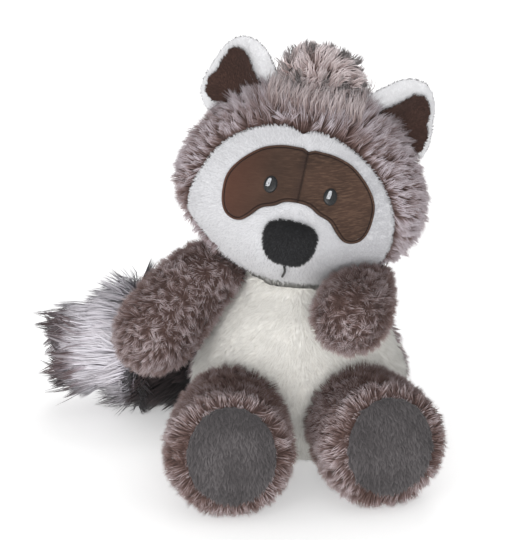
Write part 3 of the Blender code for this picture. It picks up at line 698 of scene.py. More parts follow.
def mask_outline():
    """Both halves of the mask, with a notch at each end of the seam between them."""
    half = (
        (0.20, 1.00, 1), (0.40, 0.95, 1), (0.60, 0.80, 1), (0.79, 0.49, 1), (0.92, 0.17, 1),
        (0.99, 0.12, -1), (1.00, 0.42, -1), (0.97, 0.70, -1), (0.90, 0.90, -1), (0.79, 1.00, -1),
        (0.68, 1.00, -1), (0.58, 0.88, -1), (0.45, 0.66, -1), (0.29, 0.56, -1), (0.13, 0.42, -1),
    )
    curve = [(x * MASK_HALF_WIDTH, level * (MASK_TOP if up > 0 else MASK_BOTTOM)) for x, level, up in half]
    smooth = rounded(curve + [(-x, level) for x, level in reversed(curve)])
    start = next(k for k in range(len(smooth)) if smooth[k - 1].x <= SEAM_NOTCH < smooth[k].x)
    left = [point for point in smooth[start:] + smooth[:start] if point.x > SEAM_NOTCH]
    right = [Vector((-point.x, point.y)) for point in reversed(left)]
    return [Vector((0, 0.94 * MASK_TOP))] + left + [Vector((0, 0.40 * MASK_BOTTOM))] + right


def oval(centre, half_width, half_height, points=40):
    turns = [2 * math.pi * index / points for index in range(points)]
    return [centre + Vector((half_width * math.cos(turn), half_height * math.sin(turn))) for turn in turns]


def even_steps(outline, spacing):
    """The outline with extra corners on its long sides."""
    result = []
    for start, end in zip(outline, outline[1:] + outline[:1]):
        steps = max(1, math.ceil((end - start).length / spacing))
        result += [start.lerp(end, step / steps) for step in range(steps)]
    return result


def flat_shape(name, outline):
    """A flat face with this outline on the face's plane, seen from the front."""
    deselect()
    bpy.ops.mesh.primitive_circle_add(vertices=len(outline), radius=1.0, fill_type="NGON")
    obj = bpy.context.object
    obj.name = name
    area = sum(a.x * b.y - b.x * a.y for a, b in zip(outline, outline[1:] + outline[:1]))
    ordered = outline if area > 0 else outline[::-1]
    set_points(obj, [(point.x, 0, FACE_LEVEL + point.y) for point in ordered])
    return obj


def prism(name, outline, near, far):
    """A block with this outline, which runs through the head from near to far."""
    obj = flat_shape(name, outline)
    edit(obj)
    bpy.ops.mesh.extrude_region_move(TRANSFORM_OT_translate={"value": (0, far - near, 0)})
    select_mesh()
    bpy.ops.mesh.normals_make_consistent(inside=False)
    leave_edit()
    points = points_of(obj)
    points[:, 1] += near
    set_points(obj, points)
    obj.data.transform(FACE_PLANE)
    return obj


def boolean(obj, cutter, operation):
    apply(obj, "BOOLEAN", object=cutter, operation=operation, solver="EXACT")


def outline_distance(points, outline):
    """How far each flat point lies from the outline."""
    best = np.full(len(points), 1.0)
    corners = np.array([tuple(point) for point in outline])
    for start, end in zip(corners, np.roll(corners, -1, axis=0)):
        span = end - start
        share = np.clip(((points - start) @ span) / max(span @ span, 1e-12), 0, 1)
        best = np.minimum(best, np.linalg.norm(points - (start + share[:, None] * span), axis=1))
    return best


def sliced(low, high, spacing):
    """Cuts the open flat shape into squares."""
    for axis in (0, 2):
        across = Vector((axis == 0, 0, axis == 2))
        for step in range(1, int((high[axis] - low[axis]) / spacing) + 1):
            bisect(low + across * step * spacing, across)


def laid_patch(name, outline, rows, squares, height, tree, thickness, side=0):
    """A piece of cloth cut to the outline and laid on the head. The rows follow its edge, for its stitches.

    With a side, only the half of the shape on that side of the middle seam is kept.
    """
    obj = flat_shape(name, even_steps(outline, 1.2 * MM))
    points = points_of(obj)
    edit(obj)
    bpy.ops.mesh.select_mode(type="FACE")
    select_mesh()
    for row in rows:
        bpy.ops.mesh.inset(thickness=row, use_even_offset=False)
    bpy.ops.mesh.quads_convert_to_tris(quad_method="BEAUTY", ngon_method="BEAUTY")
    if side:
        bisect((side * SEAM_GAP, 0, 0), (side, 0, 0), clear_inner=True)
        for step in SEAM_ROWS:
            bisect((side * step, 0, 0), (side, 0, 0))
    sliced(Vector(points.min(axis=0)), Vector(points.max(axis=0)), squares)
    select_mesh()
    bpy.ops.mesh.quads_convert_to_tris(quad_method="BEAUTY", ngon_method="BEAUTY")
    leave_edit()
    flat = points_of(obj)
    edge = outline_distance(flat[:, [0, 2]] - (0, FACE_LEVEL), outline)
    laid = []
    direction = FACE_PLANE @ Vector((0, 1, 0))
    for (x, _, level), distance in zip(flat, edge):
        hit, normal, _, _ = tree.ray_cast(FACE_PLANE @ Vector((x, -AHEAD, level)), direction)
        laid.append(hit + normal * height(distance, x))
    set_points(obj, laid)
    for word, values in (("edge", edge), ("seam", flat[:, 0])):
        attribute = obj.data.attributes.new(word, "FLOAT", "POINT")
        attribute.data.foreach_set("value", (values / MM).astype(np.float32))
    edit(obj)
    bpy.ops.mesh.normals_make_consistent(inside=False)
    leave_edit()
    average = np.array([tuple(face.normal) for face in obj.data.polygons]).mean(axis=0)
    if average[1] > 0:
        obj.data.flip_normals()
    apply(obj, "SOLIDIFY", thickness=thickness, offset=-1.0)
    obj.data.transform(HEAD_MATRIX)
    return obj


def suede_material():
    """Brown suede with a nap that runs aslant, and a sunk line of stitches along its edge.

    Its nap is rougher on the toy's left, and its outer right end is redder. Beside the middle seam the toy's
    right half is darkened by a painted shadow. Edge and seam are the distances in millimetres from the
    outline and from the middle seam.
    """
    material, tree, shader = new_material("mask_suede", 0.85, 0.12, 0.4)
    place = add(tree, "TexCoord").outputs["Object"]
    across = add(tree, "SeparateXYZ", {"Vector": place}).outputs["X"]
    edge, seam = (add(tree, "Attribute", attribute_name=word).outputs["Fac"] for word in ("edge", "seam"))
    colour = ramp(tree, noise(tree, place, 60.0, 3.0), stops((0.3, 54, 40, 33), (0.7, 70, 52, 43)))
    nap = noise(tree, stretched(tree, (220.0, 220.0, 1500.0), (0, math.radians(28), 0)), roughness=0.6)
    strokes = ramp(tree, nap, ((0.45, BLACK), (0.75, WHITE)))
    rough = product(tree, strokes, ranged(tree, across, -12 * MM, 14 * MM, 0.12, 0.5))
    rim, seam_shadow_depth = (0.35, 0.35, 0.35, 1), (0.55, 0.55, 0.55, 1)
    line = ((0.0, rim), (0.08, BLACK), (0.21, BLACK), (0.27, WHITE), (0.32, WHITE), (0.40, BLACK))
    seam_shadow = ((0.1, BLACK), (0.86, seam_shadow_depth), (1.0, BLACK))
    for tone, amount in (
        (shade(110, 86, 71), rough),
        (shade(88, 52, 40), ranged(tree, seam, -16.0, -42.0, 0.0, 0.55)),
        (shade(34, 22, 18), ramp(tree, product(tree, edge, 0.2), line)),
        # painted shadow beside the middle seam, on the toy's right half
        (shade(40, 30, 28), ramp(tree, ranged(tree, seam, -5.0, 0.6), seam_shadow)),
    ):
        colour = mixed(tree, colour, tone, amount)
    cover(tree, shader, colour, nap, 0.25, 0.2 * MM)
    return material


def mask_height(edge, across):
    """The suede's top above the face: rounded at its rim, sunk at the stitches and at the middle seam."""
    if edge < RIM_RADIUS:
        top = MASK_THICKNESS * math.sqrt(max(0.0, 1 - (1 - edge / RIM_RADIUS) ** 2))
    else:
        top = MASK_THICKNESS - STITCH_DEPTH * math.exp(-((edge - STITCH_PLACE) / STITCH_HALF_WIDTH) ** 2)
    return BED + top * (1 - 0.75 * math.exp(-((across / SEAM_HALF_WIDTH) ** 2)))


def thread_material(name, first, second):
    """Satin embroidery: fine upright threads side by side."""
    material, tree, shader = new_material(name, 0.45, 0.03, 0.3, 0.35)
    threads = noise(tree, stretched(tree, (2600.0, 2600.0, 208.0)), detail=1.0)
    tones = ramp(tree, threads, stops((0.35, *first), (0.65, *second)))
    cover(tree, shader, tones, threads, 0.4, 0.15 * MM)
    return material


def dome(bed, rise, reach):
    """Heights of a padded shape on its bed: steep at the edge and round on top."""
    def height(edge, _):
        share = min(1.0, edge / reach)
        return bed + rise * math.sqrt(max(0.0, 1 - (1 - share) ** 2))
    return height


ACROSS, BACK, UP = (np.array(axis) for axis in HEAD_MATRIX.to_3x3().col)
HEAD_CENTRE = np.array(HEAD_PLACE)
FACE_FRONT = (
    "face_panel", "mask_left", "mask_right", "eye_left", "eye_right", "eye_glint_left", "eye_glint_right",
    "mouth_stitch", "head_hood",
)


def from_the_face(roots, outward):
    """The hood's hair lies away from the face, and hangs down behind it."""
    offset = roots - HEAD_CENTRE - UP * 0.004
    across = (offset @ ACROSS)[:, None]
    above = (offset @ UP)[:, None]
    behind = (offset @ BACK)[:, None] / HEAD_HALF_DEPTH
    radial = unit(across * ACROSS + above * UP)
    rear = np.clip(0.5 + behind, 0, 1)
    return radial * (1 - 0.6 * rear) + BACK * 0.45 * (1 - rear) - np.array((0, 0, 1.1)) * rear


def build_head():
    surface = head_ball("head_surface", 0)
    tree = tree_of(surface)

    face = head_ball("face_plush", -FACE_PILE)
    through = prism("face_through", face_outline(), -3 * HEAD_HALF_DEPTH, FACE_BACK)
    inside = head_ball("face_inside", -FACE_PILE - FACE_THICKNESS)
    boolean(face, through, "INTERSECT")
    boolean(face, inside, "DIFFERENCE")
    face.data.transform(HEAD_MATRIX)
    # The face's pile and cloth: the white plush painted darker and lighter in places, for painted shade and
    # light.
    white, backing = fur("white_plush", "white_pile", FACE_SHADED_DARK, FACE_LIT_PALE,
                         "face_backing", (196, 196, 199), (206, 206, 209), 900.0, sheen=0.25, streak=0.92)
    dress(face, backing)
    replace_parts(face, "face_panel")
    plant("face_pile", face, STUB, white, 11, 130, 1.9 * MM, 0.35 * MM, face_flow, lean=0.8, clump=2.2 * MM,
          pull=0.25, curl=0.35, tone=face_light_and_shade, tone_spread=0.04, roundness=0.08, mottle=0.03,
          left_out=FACE_FRONT, keep=off_the_mask, least_room=1.0 * MM)

    suede = suede_material(), "mask_suede"
    black = thread_material("black_thread", (14, 14, 15), (34, 35, 36)), "black_thread"
    grey = thread_material("grey_thread", (150, 152, 156), (186, 188, 192)), "grey_thread"
    on_mask = BED + MASK_THICKNESS
    on_eye = dome(on_mask + 1.0 * MM, 0.45 * MM, 0.5 * MM)
    for side, word in ((1, "left"), (-1, "right")):
        mask = laid_patch(f"mask_suede_{word}", mask_outline(), STITCH_ROWS, 2.5 * MM, mask_height, tree,
                          1.1 * MM, side)
        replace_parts(dress(mask, suede), f"mask_{word}")
        centre = Vector((side * EYE_CENTRE.x, EYE_CENTRE.y))
        outline = oval(centre, EYE_HALF_WIDTH, EYE_HALF_HEIGHT)
        eye = laid_patch(f"eye_thread_{word}", outline, [0.2 * MM] * 6, 0.8 * MM,
                         dome(on_mask, 1.1 * MM, 2.2 * MM), tree, 1.0 * MM)
        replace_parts(dress(eye, black), f"eye_{word}")
        glint = laid_patch(f"glint_thread_{word}", glint_outline(centre), [0.12 * MM] * 3, 0.5 * MM, on_eye,
                           tree, 0.5 * MM)
        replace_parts(dress(glint, grey), f"eye_glint_{word}")
    build_nose(tree, surface)
    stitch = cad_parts["mouth_stitch"].data.materials
    stitch.clear()
    stitch.append(black[0])
    for helper in (surface, through, inside):
        bpy.data.objects.remove(helper)


def build_nose(tree, surface):
    """A padded nose, wider at its top, cut where it meets the muzzle and covered in short black pile."""
    start = FACE_PLANE @ Vector((0, -AHEAD, FACE_LEVEL + NOSE_LEVEL))
    seat, _, _, _ = tree.ray_cast(start, FACE_PLANE @ Vector((0, 1, 0)))
    deselect()
    bpy.ops.mesh.primitive_uv_sphere_add(segments=40, ring_count=28, radius=1.0)
    nose = bpy.context.object
    nose.name = "nose_plush"
    points = points_of(nose)
    corners = np.sum(abs(points[:, [0, 2]]) ** NOSE_SQUARENESS, axis=1) ** (1 / NOSE_SQUARENESS)
    squared = np.hypot(points[:, 0], points[:, 2]) / np.maximum(corners, TINY)
    points[:, 0] *= squared * (1 + NOSE_TAPER * points[:, 2])
    points[:, 2] *= squared
    set_points(nose, points * np.array(NOSE_HALF))
    nose.data.transform(Matrix.Translation(seat) @ FACE_PLANE)
    boolean(nose, surface, "DIFFERENCE")
    nose.data.transform(HEAD_MATRIX)
    black = pile_material("nose_pile", NOSE_DARK, NOSE_PALE, 0.08), "black_plush"
    backing = cloth_material("nose_backing", (24, 24, 25), (36, 36, 38), 900.0, sheen=0.05), "black_plush"
    dress(nose, backing)
    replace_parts(nose, "nose")
    plant("nose_pile", nose, STUB, black, 15, 220, 1.7 * MM, 0.3 * MM, downward, lean=0.6, clump=1.6 * MM,
          pull=0.3, curl=0.5, roundness=0.3, left_out=("nose", "face_panel", "head_hood", "mouth_stitch"),
          least_room=0.5 * MM)


def glint_outline(centre):
    """The pale highlight in an eye: tall, a little narrower at its top."""
    half = ((0.62, 1.0), (1.0, 0.2), (0.95, -0.7), (0.6, -1.0))
    corners = [(x, y) for x, y in half] + [(-x, y) for x, y in reversed(half)]
    middle = centre + Vector((-0.9, 0.8)) * MM
    size = Vector((1.05, 2.2)) * MM
    return [middle + Vector(((x + 0.3 * y) * size.x, y * size.y)) for x, y in rounded(corners, 4)]


def on_face_plane(points):
    inverse = np.array((HEAD_MATRIX @ FACE_PLANE).inverted())
    flat = points @ inverse[:3, :3].T + inverse[:3, 3]
    return flat[:, [0, 2]] - (0, FACE_LEVEL)


def seam_offset(flat):
    """How far flat points lie beside the face's middle seam, which bends aside above the mask."""
    above = np.maximum(0.0, flat[:, 1] - MASK_TOP)
    return flat[:, 0] + above * 0.55


def face_flow(roots, outward):
    """The face's pile lies away from its middle, and parts at the seam."""
    offset = seam_offset(on_face_plane(roots))[:, None]
    parting = np.sign(offset) * np.exp(-(offset / (1.6 * MM)) ** 2)
    return from_the_face(roots, outward) + 2 * parting * ACROSS


def face_light_and_shade(roots, outward):
    """Painted light on the muzzle and under the chin, and painted shade on the brow and the left cheek."""
    flat = on_face_plane(roots)
    low = between(flat[:, 1], -18 * MM, -44 * MM)
    under = between(flat[:, 1], -42 * MM, -52 * MM)
    cheek = between(flat[:, 0], 10 * MM, 34 * MM) * (1 - under)
    # Painted light raises the muzzle and the chin, painted shade lowers the brow and the left cheek.
    return 0.46 + 0.25 * low * (1 - cheek) + 0.25 * under - 0.42 * cheek


def off_the_mask(roots, outward):
    """Roots on the outer side of the face's shell that aren't covered by the suede or on the seam."""
    outline = mask_outline()
    flat = on_face_plane(roots)
    outer = np.sum(unit(roots - HEAD_CENTRE) * outward, axis=1) > 0.2
    covered = inside_outline(flat, outline) & (outline_distance(flat, outline) > 0.8 * MM)
    on_seam = (abs(seam_offset(flat)) < 0.35 * MM) & (flat[:, 1] > NOSE_LEVEL)
    return outer & ~covered & ~on_seam


def inside_outline(points, outline):
    inside = np.zeros(len(points), bool)
    corners = [tuple(point) for point in outline]
    for (ax, ay), (bx, by) in zip(corners, corners[1:] + corners[:1]):
        crosses = (ay > points[:, 1]) != (by > points[:, 1])
        if ay != by:
            inside ^= crosses & (points[:, 0] < ax + (points[:, 1] - ay) / (by - ay) * (bx - ax))
    return inside


def ear_flow(side):
    """An ear's hair runs out from the middle of the ear."""
    middle = middle_of(f"ear_{side}") - UP * 12 * MM

    def flow(roots, outward):
        return unit(roots - middle)
    return flow


def combed_up(roots, outward):
    """The forelock stands up on its right, and falls over to its left."""
    across = ((roots - middle_of("forelock")) @ ACROSS)[:, None]
    fall = np.clip(across / (20 * MM) + 0.2, -0.25, 1.1)
    return (1.15 - fall) * UP + fall * ACROSS - 0.4 * BACK


def forelock_front(roots, outward):
    """Where the hood's hair is combed up into the forelock: round its foot, and in front down to the face."""
    offset = roots - middle_of("forelock")
    near = (abs(offset @ ACROSS) < 25 * MM) & (abs(offset @ BACK) < 24 * MM)
    return near & (on_face_plane(roots)[:, 1] > FACE_TOP + 6 * MM) & (outward @ UP > 0)


def against_the_forelock(roots, outward):
    """Hair that stands round the forelock's foot and leans on it."""
    return unit(middle_of("forelock") - roots) + 0.2 * ACROSS


def hood_tone(roots, outward):
    """The hood is darker next to the face, where its roots show, and paler at its sides, where its tips show.
    """
    distance = outline_distance(on_face_plane(roots), face_outline())
    offset = roots - HEAD_CENTRE
    across = offset @ ACROSS
    # The toy's left side is made paler than its right: painted light on the side away from the key lamp.
    aside = np.where(across > 0, 0.45, 0.2) * between(abs(across), 20 * MM, 55 * MM)
    return np.where(offset @ BACK < 0, 0.3 + 0.55 * between(distance, 0, 26 * MM) + aside, 0.8)


def hood_place(roots, outward):
    """Keeps the hood's hair off the face and the place where the chin rests, and thins it at the back."""
    thinned = ((roots - HEAD_CENTRE) @ BACK > 14 * MM) & (np.arange(len(roots)) % 10 < 3)
    return outside_of("face_panel", roots, outward) & ~chin_place(roots, outward) & ~thinned


def chin_place(roots, outward):
    flat = on_face_plane(roots)
    chin = (abs(flat[:, 0] - FACE_ASIDE) < 33 * MM) & (flat[:, 1] < -38 * MM)
    return chin & ((roots - HEAD_CENTRE) @ BACK < 16 * MM)


def hood_lean(roots, outward):
    """The hair stands up on the crown and lies down elsewhere."""
    offset = roots - HEAD_CENTRE
    return 0.78 - 0.3 * between(offset @ UP, 32 * MM, 46 * MM) * between(offset @ BACK, 20 * MM, 0)


def hood_length(roots, outward):
    return (8 + 4 * between((roots - HEAD_CENTRE) @ UP, 26 * MM, 40 * MM)) * MM


def build_head_pile():
    hood = stuffed("hood_pelt", "head_hood", BROWN_CLOTH, 2.6 * MM, 3.2 * MM, air=0.8 * MM)
    plant("hood_pile", hood, STUB, BROWN_PILE, 21, 138, hood_length, 0.38 * MM, from_the_face,
          lean=hood_lean, clump=3.6 * MM, pull=0.36, curl=0.5, tone=hood_tone, tone_spread=0.34,
          mottle=0.45, unrest=0.14, keep=hood_place, least_room=2.0 * MM,
          left_out=("head_hood", "forelock", "face_panel", "ear_left", "ear_right", "ear_lining_left",
                    "ear_lining_right"))
    tuft = stuffed("forelock_pelt", "forelock", CREST_CLOTH, 4.5 * MM, 1.8 * MM)
    at_crest = ("forelock", "head_hood")
    plant("forelock_pile", tuft, CURL, CREST_PILE, 22, 110, 11 * MM, 0.36 * MM, combed_up, lean=0.94,
          clump=3.6 * MM, pull=0.5, curl=0.35, wave=0.07, tone=0.75, mottle=0.3, left_out=at_crest,
          least_room=0.5 * MM)
    plant("forelock_front_pile", hood, CURL, CREST_PILE, 23, 85, 17 * MM, 0.36 * MM, against_the_forelock,
          lean=0.4, clump=4.0 * MM, pull=0.5, curl=0.3, wave=0.06, tone=0.6, mottle=0.4, left_out=at_crest,
          keep=forelock_front, least_room=3 * MM)
    plant("chin_pile", hood, STUB, WHITE_PILE, 24, 120, 4.5 * MM, 0.4 * MM, from_the_face, lean=0.6,
          clump=3 * MM, pull=0.3, curl=0.3, tone_spread=0.12, roundness=0.1, mottle=0.1,
          left_out=("head_hood", "face_panel"), keep=chin_place, least_room=1.5 * MM)
    for number, side in enumerate(("left", "right")):
        outer, inner = f"ear_{side}", f"ear_lining_{side}"
        ear = stuffed(f"ear_plush_{side}", outer, WHITE_CLOTH, 1.2 * MM, 1.4 * MM)
        plant(f"ear_pile_{side}", ear, STUB, WHITE_PILE, 31 + number, 160, 1.8 * MM, 0.34 * MM,
              ear_flow(side), lean=0.94, clump=1.8 * MM, pull=0.15, curl=0.3, tone_spread=0.1,
              left_out=(outer,), least_room=0.8 * MM, roundness=0.12, mottle=0.05)
        lining = stuffed(f"lining_plush_{side}", inner, LINING_CLOTH, 0.4 * MM, 1.1 * MM)
        plant(f"lining_pile_{side}", lining, STUB, LINING_PILE, 35 + number, 180, 1.8 * MM, 0.32 * MM,
              ear_flow(side), lean=0.8, clump=2.0 * MM, pull=0.2, curl=0.25, left_out=(outer, inner),
              least_room=0.6 * MM)


def outside_of(node, roots, outward):
    """Which roots don't lie under the node's solid."""
    tree = tree_of(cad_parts[node])
    wanted = []
    for root, normal in zip(roots, outward):
        hit = tree.ray_cast(Vector(root) - Vector(normal) * MM, Vector(normal), 8 * MM)
        wanted.append(hit[3] is None)
    return np.array(wanted)


# Body


def throat_place(roots, outward):
    """The short stretch of the body between the belly's top edge and the chin."""
    return (abs(roots[:, 0] + 5 * MM) < 30 * MM) & (roots[:, 1] < -6 * MM) & (roots[:, 2] > 84 * MM)


def back_place(roots, outward):
    """The part of the body that the belly panel and the throat leave to the brown pelt."""
    return outside_of("belly_panel", roots, outward) & ~throat_place(roots, outward)


def belly_flow(roots, outward):
    """The belly's hair runs down and away from the seam in its middle."""
    way = np.zeros_like(roots)
    way[:, 0] = np.clip(roots[:, 0] / (20 * MM), -0.6, 0.6)
    way[:, 2] = -1.0
    return way


def limb_tone(node):
    """A limb is palest along its low side and its end, where the hair's tips show."""
    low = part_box(node)[0][2]

    def tone(roots, outward):
        end = between(roots[:, 2], low + 12 * MM, low + 2 * MM)
        return 0.46 + 0.4 * np.maximum(end, between(outward[:, 2], 0, -1))
    return tone


def foot_flow(side):
    """Round the sole the hair stands away from the sole's middle, and further back it runs to the foot."""
    middle = middle_of(f"sole_{side}")
    hip = np.array((30 if side == "left" else -30, -30, 30)) * MM
    axis = unit(middle - hip)

    def flow(roots, outward):
        offset = roots - middle
        ahead = offset @ axis
        near = between(ahead, -60 * MM, 0)[:, None]
        return unit(offset - ahead[:, None] * axis) * near + axis * (1.05 - near) * 0.9
    return flow


def foot_lean(side):
    middle = middle_of(f"sole_{side}")

    def lean(roots, outward):
        return 0.86 - 0.16 * between(np.linalg.norm(roots - middle, axis=1), 27 * MM, 39 * MM)
    return lean


def tail_flow(roots, outward):
    """The tail's hair runs to the right and fans out up and down at its end."""
    way = np.zeros_like(roots)
    share = between(roots[:, 0], -60 * MM, -140 * MM)
    way[:, 0] = -1.0
    way[:, 2] = np.clip((roots[:, 2] - 36 * MM) / (36 * MM), -1, 1) * (0.15 + 0.55 * share)
    way[:, 1] = np.clip((roots[:, 1] - 43 * MM) / (36 * MM), -1, 1) * (0.15 + 0.45 * share)
    return way


def sole_tone(side):
    """The right sole is darker at its top, and the left one a little."""
    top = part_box(f"sole_{side}")[1][2]
    depth = 0.6 if side == "right" else 0.15

    def tone(roots, outward):
        return 0.55 - depth * between(roots[:, 2], top - 13 * MM, top - 8 * MM)
    return tone


def foot_tone(side):
    """A leg is dark round its sole and pale further out."""
    middle = middle_of(f"sole_{side}")

    def tone(roots, outward):
        distance = np.linalg.norm((roots - middle)[:, [0, 2]], axis=1)
        return 0.46 + 0.5 * between(distance, 26 * MM, 38 * MM)
    return tone


def build_body():
    torso = stuffed("torso_pelt", "torso", BROWN_CLOTH, 2.6 * MM, 3.4 * MM, air=0.8 * MM)
    at_belly = ("torso", "belly_panel")
    plant("torso_pile", torso, STUB, BROWN_PILE, 41, 58, 8 * MM, 0.57 * MM, downward, lean=0.78,
          clump=3.2 * MM, pull=0.4, curl=0.4, left_out=at_belly, keep=back_place)
    plant("throat_pile", torso, STUB, CREAM_PILE, 43, 130, 5.5 * MM, 0.45 * MM, along(0, 0, 1), lean=0.45,
          clump=3 * MM, pull=0.2, curl=0.3, tone_spread=0.14, roundness=0.05, mottle=0.1,
          left_out=(*at_belly, "face_panel", "head_hood"), keep=throat_place, least_room=1 * MM)
    belly = stuffed("belly_plush", "belly_panel", CREAM_CLOTH, 0.9 * MM, 2.25 * MM)
    plant("belly_pile", belly, STUB, CREAM_PILE, 42, 135, 5.0 * MM, 0.36 * MM, belly_flow, lean=0.92,
          clump=3.2 * MM, pull=0.25, curl=0.3, tone_spread=0.14, left_out=at_belly, keep=in_front,
          least_room=1.2 * MM, roundness=0.05, mottle=0.1)
    for number, (side, to_hand) in enumerate((("left", (-8, -70, -3)), ("right", (-46, -28, -38)))):
        arm = stuffed(f"arm_pelt_{side}", f"arm_{side}", BROWN_CLOTH, 2.8 * MM, 3.0 * MM, air=0.8 * MM)
        plant(f"arm_pile_{side}", arm, STUB, CURLY_PILE, 51 + number, 155, 6.0 * MM, 0.28 * MM,
              along(*to_hand), lean=0.66, clump=2.4 * MM, pull=0.24, curl=1.1,
              tone=limb_tone(f"arm_{side}"), tone_spread=0.26, mottle=0.5, stray=0.3, unrest=0.12,
              left_out=(f"arm_{side}",))
        leg = stuffed(f"leg_pelt_{side}", f"leg_{side}", BROWN_CLOTH, 2.8 * MM, 3.2 * MM, air=0.8 * MM)
        plant(f"leg_pile_{side}", leg, STUB, CURLY_PILE, 61 + number, 99, 7 * MM, 0.35 * MM,
              foot_flow(side), lean=foot_lean(side), clump=3.4 * MM, pull=0.24, curl=0.45,
              tone=foot_tone(side), tone_spread=0.22, mottle=0.5, stray=0.12, unrest=0.1,
              left_out=(f"leg_{side}",))
        pad = stuffed(f"sole_plush_{side}", f"sole_{side}", SOLE_CLOTH, 0.5 * MM, 0.9 * MM)
        plant(f"sole_pile_{side}", pad, STUB, SOLE_PILE, 65 + number, 170, 3.2 * MM, 0.32 * MM, downward,
              lean=0.86, clump=2.0 * MM, pull=0.55, curl=0.3, tone=sole_tone(side), tone_spread=0.3,
              mottle=0.4, left_out=(f"leg_{side}", f"sole_{side}"), keep=in_front, least_room=0.6 * MM)
    root = stuffed("tail_root_pelt", "tail_root", BLACK_CLOTH, 4.5 * MM, 3.2 * MM, air=0.8 * MM)
    at_tail = ("tail_root", "tail_brush")
    plant("tail_root_pile", root, TUFT, BLACK_PILE, 71, 40, root_length, 0.55 * MM, along(-1, 0, -0.3),
          lean=0.94, clump=5.5 * MM, pull=0.6, curl=0.2, left_out=at_tail, keep=root_place,
          least_room=3 * MM)
    plant("tail_seam_pile", root, CURL, BRUSH_PILE, 73, 60, 16 * MM, 0.42 * MM, tail_flow, lean=0.93,
          clump=6 * MM, pull=0.5, curl=0.16, tone=0.92, left_out=at_tail, keep=seam_top, least_room=3 * MM)
    end = stuffed("tail_brush_pelt", "tail_brush", BRUSH_CLOTH, 6.5 * MM, 2.8 * MM, 16)
    plant("tail_brush_pile", end, CURL, BRUSH_PILE, 72, 56, brush_length, 0.42 * MM, tail_flow, lean=0.92,
          clump=5.0 * MM, pull=0.5, curl=0.12, tone=brush_tone, tone_spread=0.12, mottle=0.1,
          left_out=at_tail, least_room=2 * MM)
    plant("tail_wisp_pile", end, CURL, BRUSH_PILE, 74, 26, wisp_length, 0.42 * MM, tail_flow, lean=0.88,
          clump=9.0 * MM, pull=0.9, curl=0.18, tone=0.12, tone_spread=0.1, mottle=0.1, left_out=at_tail,
          keep=wisp_place, least_room=2 * MM)


def root_length(roots, outward):
    """The black hair is long in front, where it covers the brush, and short on top and near the floor."""
    high = between(roots[:, 2], 30 * MM, 55 * MM)
    low = between(roots[:, 2], 14 * MM, 4 * MM)
    return (21 - 15 * high - 8 * low) * MM


def seam_top(roots, outward):
    """Above the seam, where the brush's hair starts further in than its solid."""
    return (roots[:, 0] < -64 * MM) & (roots[:, 2] > 44 * MM)


def root_place(roots, outward):
    return ~seam_top(roots, outward)


def brush_length(roots, outward):
    """The brush's hair is longest on its upper side, and short at its end and behind, next to the root."""
    end = between(roots[:, 0], -106 * MM, -134 * MM)
    upper = between(roots[:, 2], 46 * MM, 62 * MM) * between(roots[:, 0], -98 * MM, -112 * MM)
    behind = between(outward[:, 1], 0, 0.5) * between(roots[:, 0], -112 * MM, -102 * MM)
    return (21 - 14 * end + 9 * upper - 11 * behind) * MM


def wisp_length(roots, outward):
    return brush_length(roots, outward) + 9 * MM


def brush_tone(roots, outward):
    """The brush is pale, browner low down next to the black root, and some of its locks have dark tips."""
    brown = between(roots[:, 0], -118 * MM, -88 * MM) * between(roots[:, 2], 45 * MM, 15 * MM)
    streaks = np.array([clouds.noise(Vector(root * (30, 160, 160))) for root in roots])
    outer = between(roots[:, 0], -101 * MM, -115 * MM)
    return 0.9 - 0.4 * brown - 0.7 * outer * between(streaks, 0.16, 0.36)


def wisp_place(roots, outward):
    """Dark-tipped wisps stand out at the brush's end, its low edge, and its top away from the arm."""
    top = (roots[:, 2] > 66 * MM) & (roots[:, 0] < -106 * MM)
    return (roots[:, 0] < -114 * MM) | top | (roots[:, 2] < 8 * MM)


def in_front(roots, outward):
    return outward[:, 1] < 0.35


# Camera, lamps and floor


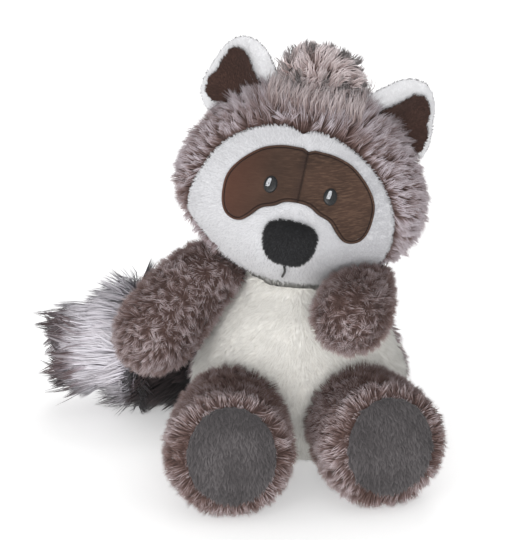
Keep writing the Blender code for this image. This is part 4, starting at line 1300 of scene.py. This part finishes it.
def build_stage():
    camera = bpy.data.objects.new("camera", bpy.data.cameras.new("camera"))
    bpy.context.scene.collection.objects.link(camera)
    rise = math.radians(20)
    camera.location = CAMERA_TARGET + CAMERA_DISTANCE * Vector((0, -math.cos(rise), math.sin(rise)))
    camera.rotation_euler = (math.radians(90) - rise, 0, 0)
    camera.data.sensor_width = 36
    camera.data.lens = 169.7
    camera.data.clip_start = 0.01
    bpy.context.scene.camera = camera

    deselect()
    bpy.ops.mesh.primitive_circle_add(vertices=64, radius=6.0, fill_type="NGON")
    floor = bpy.context.object
    floor.name = "floor"
    floor.data.materials.append(floor_material())

    world = bpy.data.worlds.new("studio")
    world.use_nodes = True
    bpy.context.scene.world = world
    sky = world.node_tree.nodes["Background"].inputs
    sky["Color"].default_value = WHITE
    sky["Strength"].default_value = 0.64
    for name, place, size, energy in (
        ("key_lamp", (-0.9, -1.3, 0.42), 0.8, 6.5),
        ("front_lamp", (0.0, -1.6, 0.36), 0.7, 15.2),
        ("back_lamp", (0.1, 1.0, 1.1), 1.0, 5.0),
    ):
        lamp = bpy.data.objects.new(name, bpy.data.lights.new(name, "AREA"))
        bpy.context.scene.collection.objects.link(lamp)
        lamp.data.shape = "SQUARE"
        lamp.data.size = size
        lamp.data.energy = energy
        lamp.location = place
        lamp.rotation_euler = (LAMP_TARGET - Vector(place)).to_track_quat("-Z", "Y").to_euler()
    bpy.context.scene.view_settings.view_transform = "Standard"


def floor_material():
    """A white floor that takes shadows, and is lit up a little where the camera sees it."""
    material = bpy.data.materials.new("pale_floor")
    material.use_nodes = True
    tree = material.node_tree
    tree.nodes.clear()
    plain = add(tree, "BsdfDiffuse", {"Color": (0.9, 0.9, 0.9, 1)}).outputs["BSDF"]
    glow = add(tree, "Emission", {"Color": WHITE, "Strength": 0.35}).outputs["Emission"]
    lit = add(tree, "AddShader", {0: plain, 1: glow}).outputs["Shader"]
    rays = add(tree, "LightPath").outputs
    seen = rays["Is Camera Ray"]
    for ray in ("Is Glossy Ray", "Is Transmission Ray"):
        seen = add(tree, "Math", {0: seen, 1: rays[ray]}, operation="MAXIMUM").outputs["Value"]
    either = add(tree, "MixShader", {"Fac": seen, 1: plain, 2: lit}).outputs["Shader"]
    add(tree, "OutputMaterial", {"Surface": either})
    return material


build_stage()
build_head()
build_head_pile()
build_body()
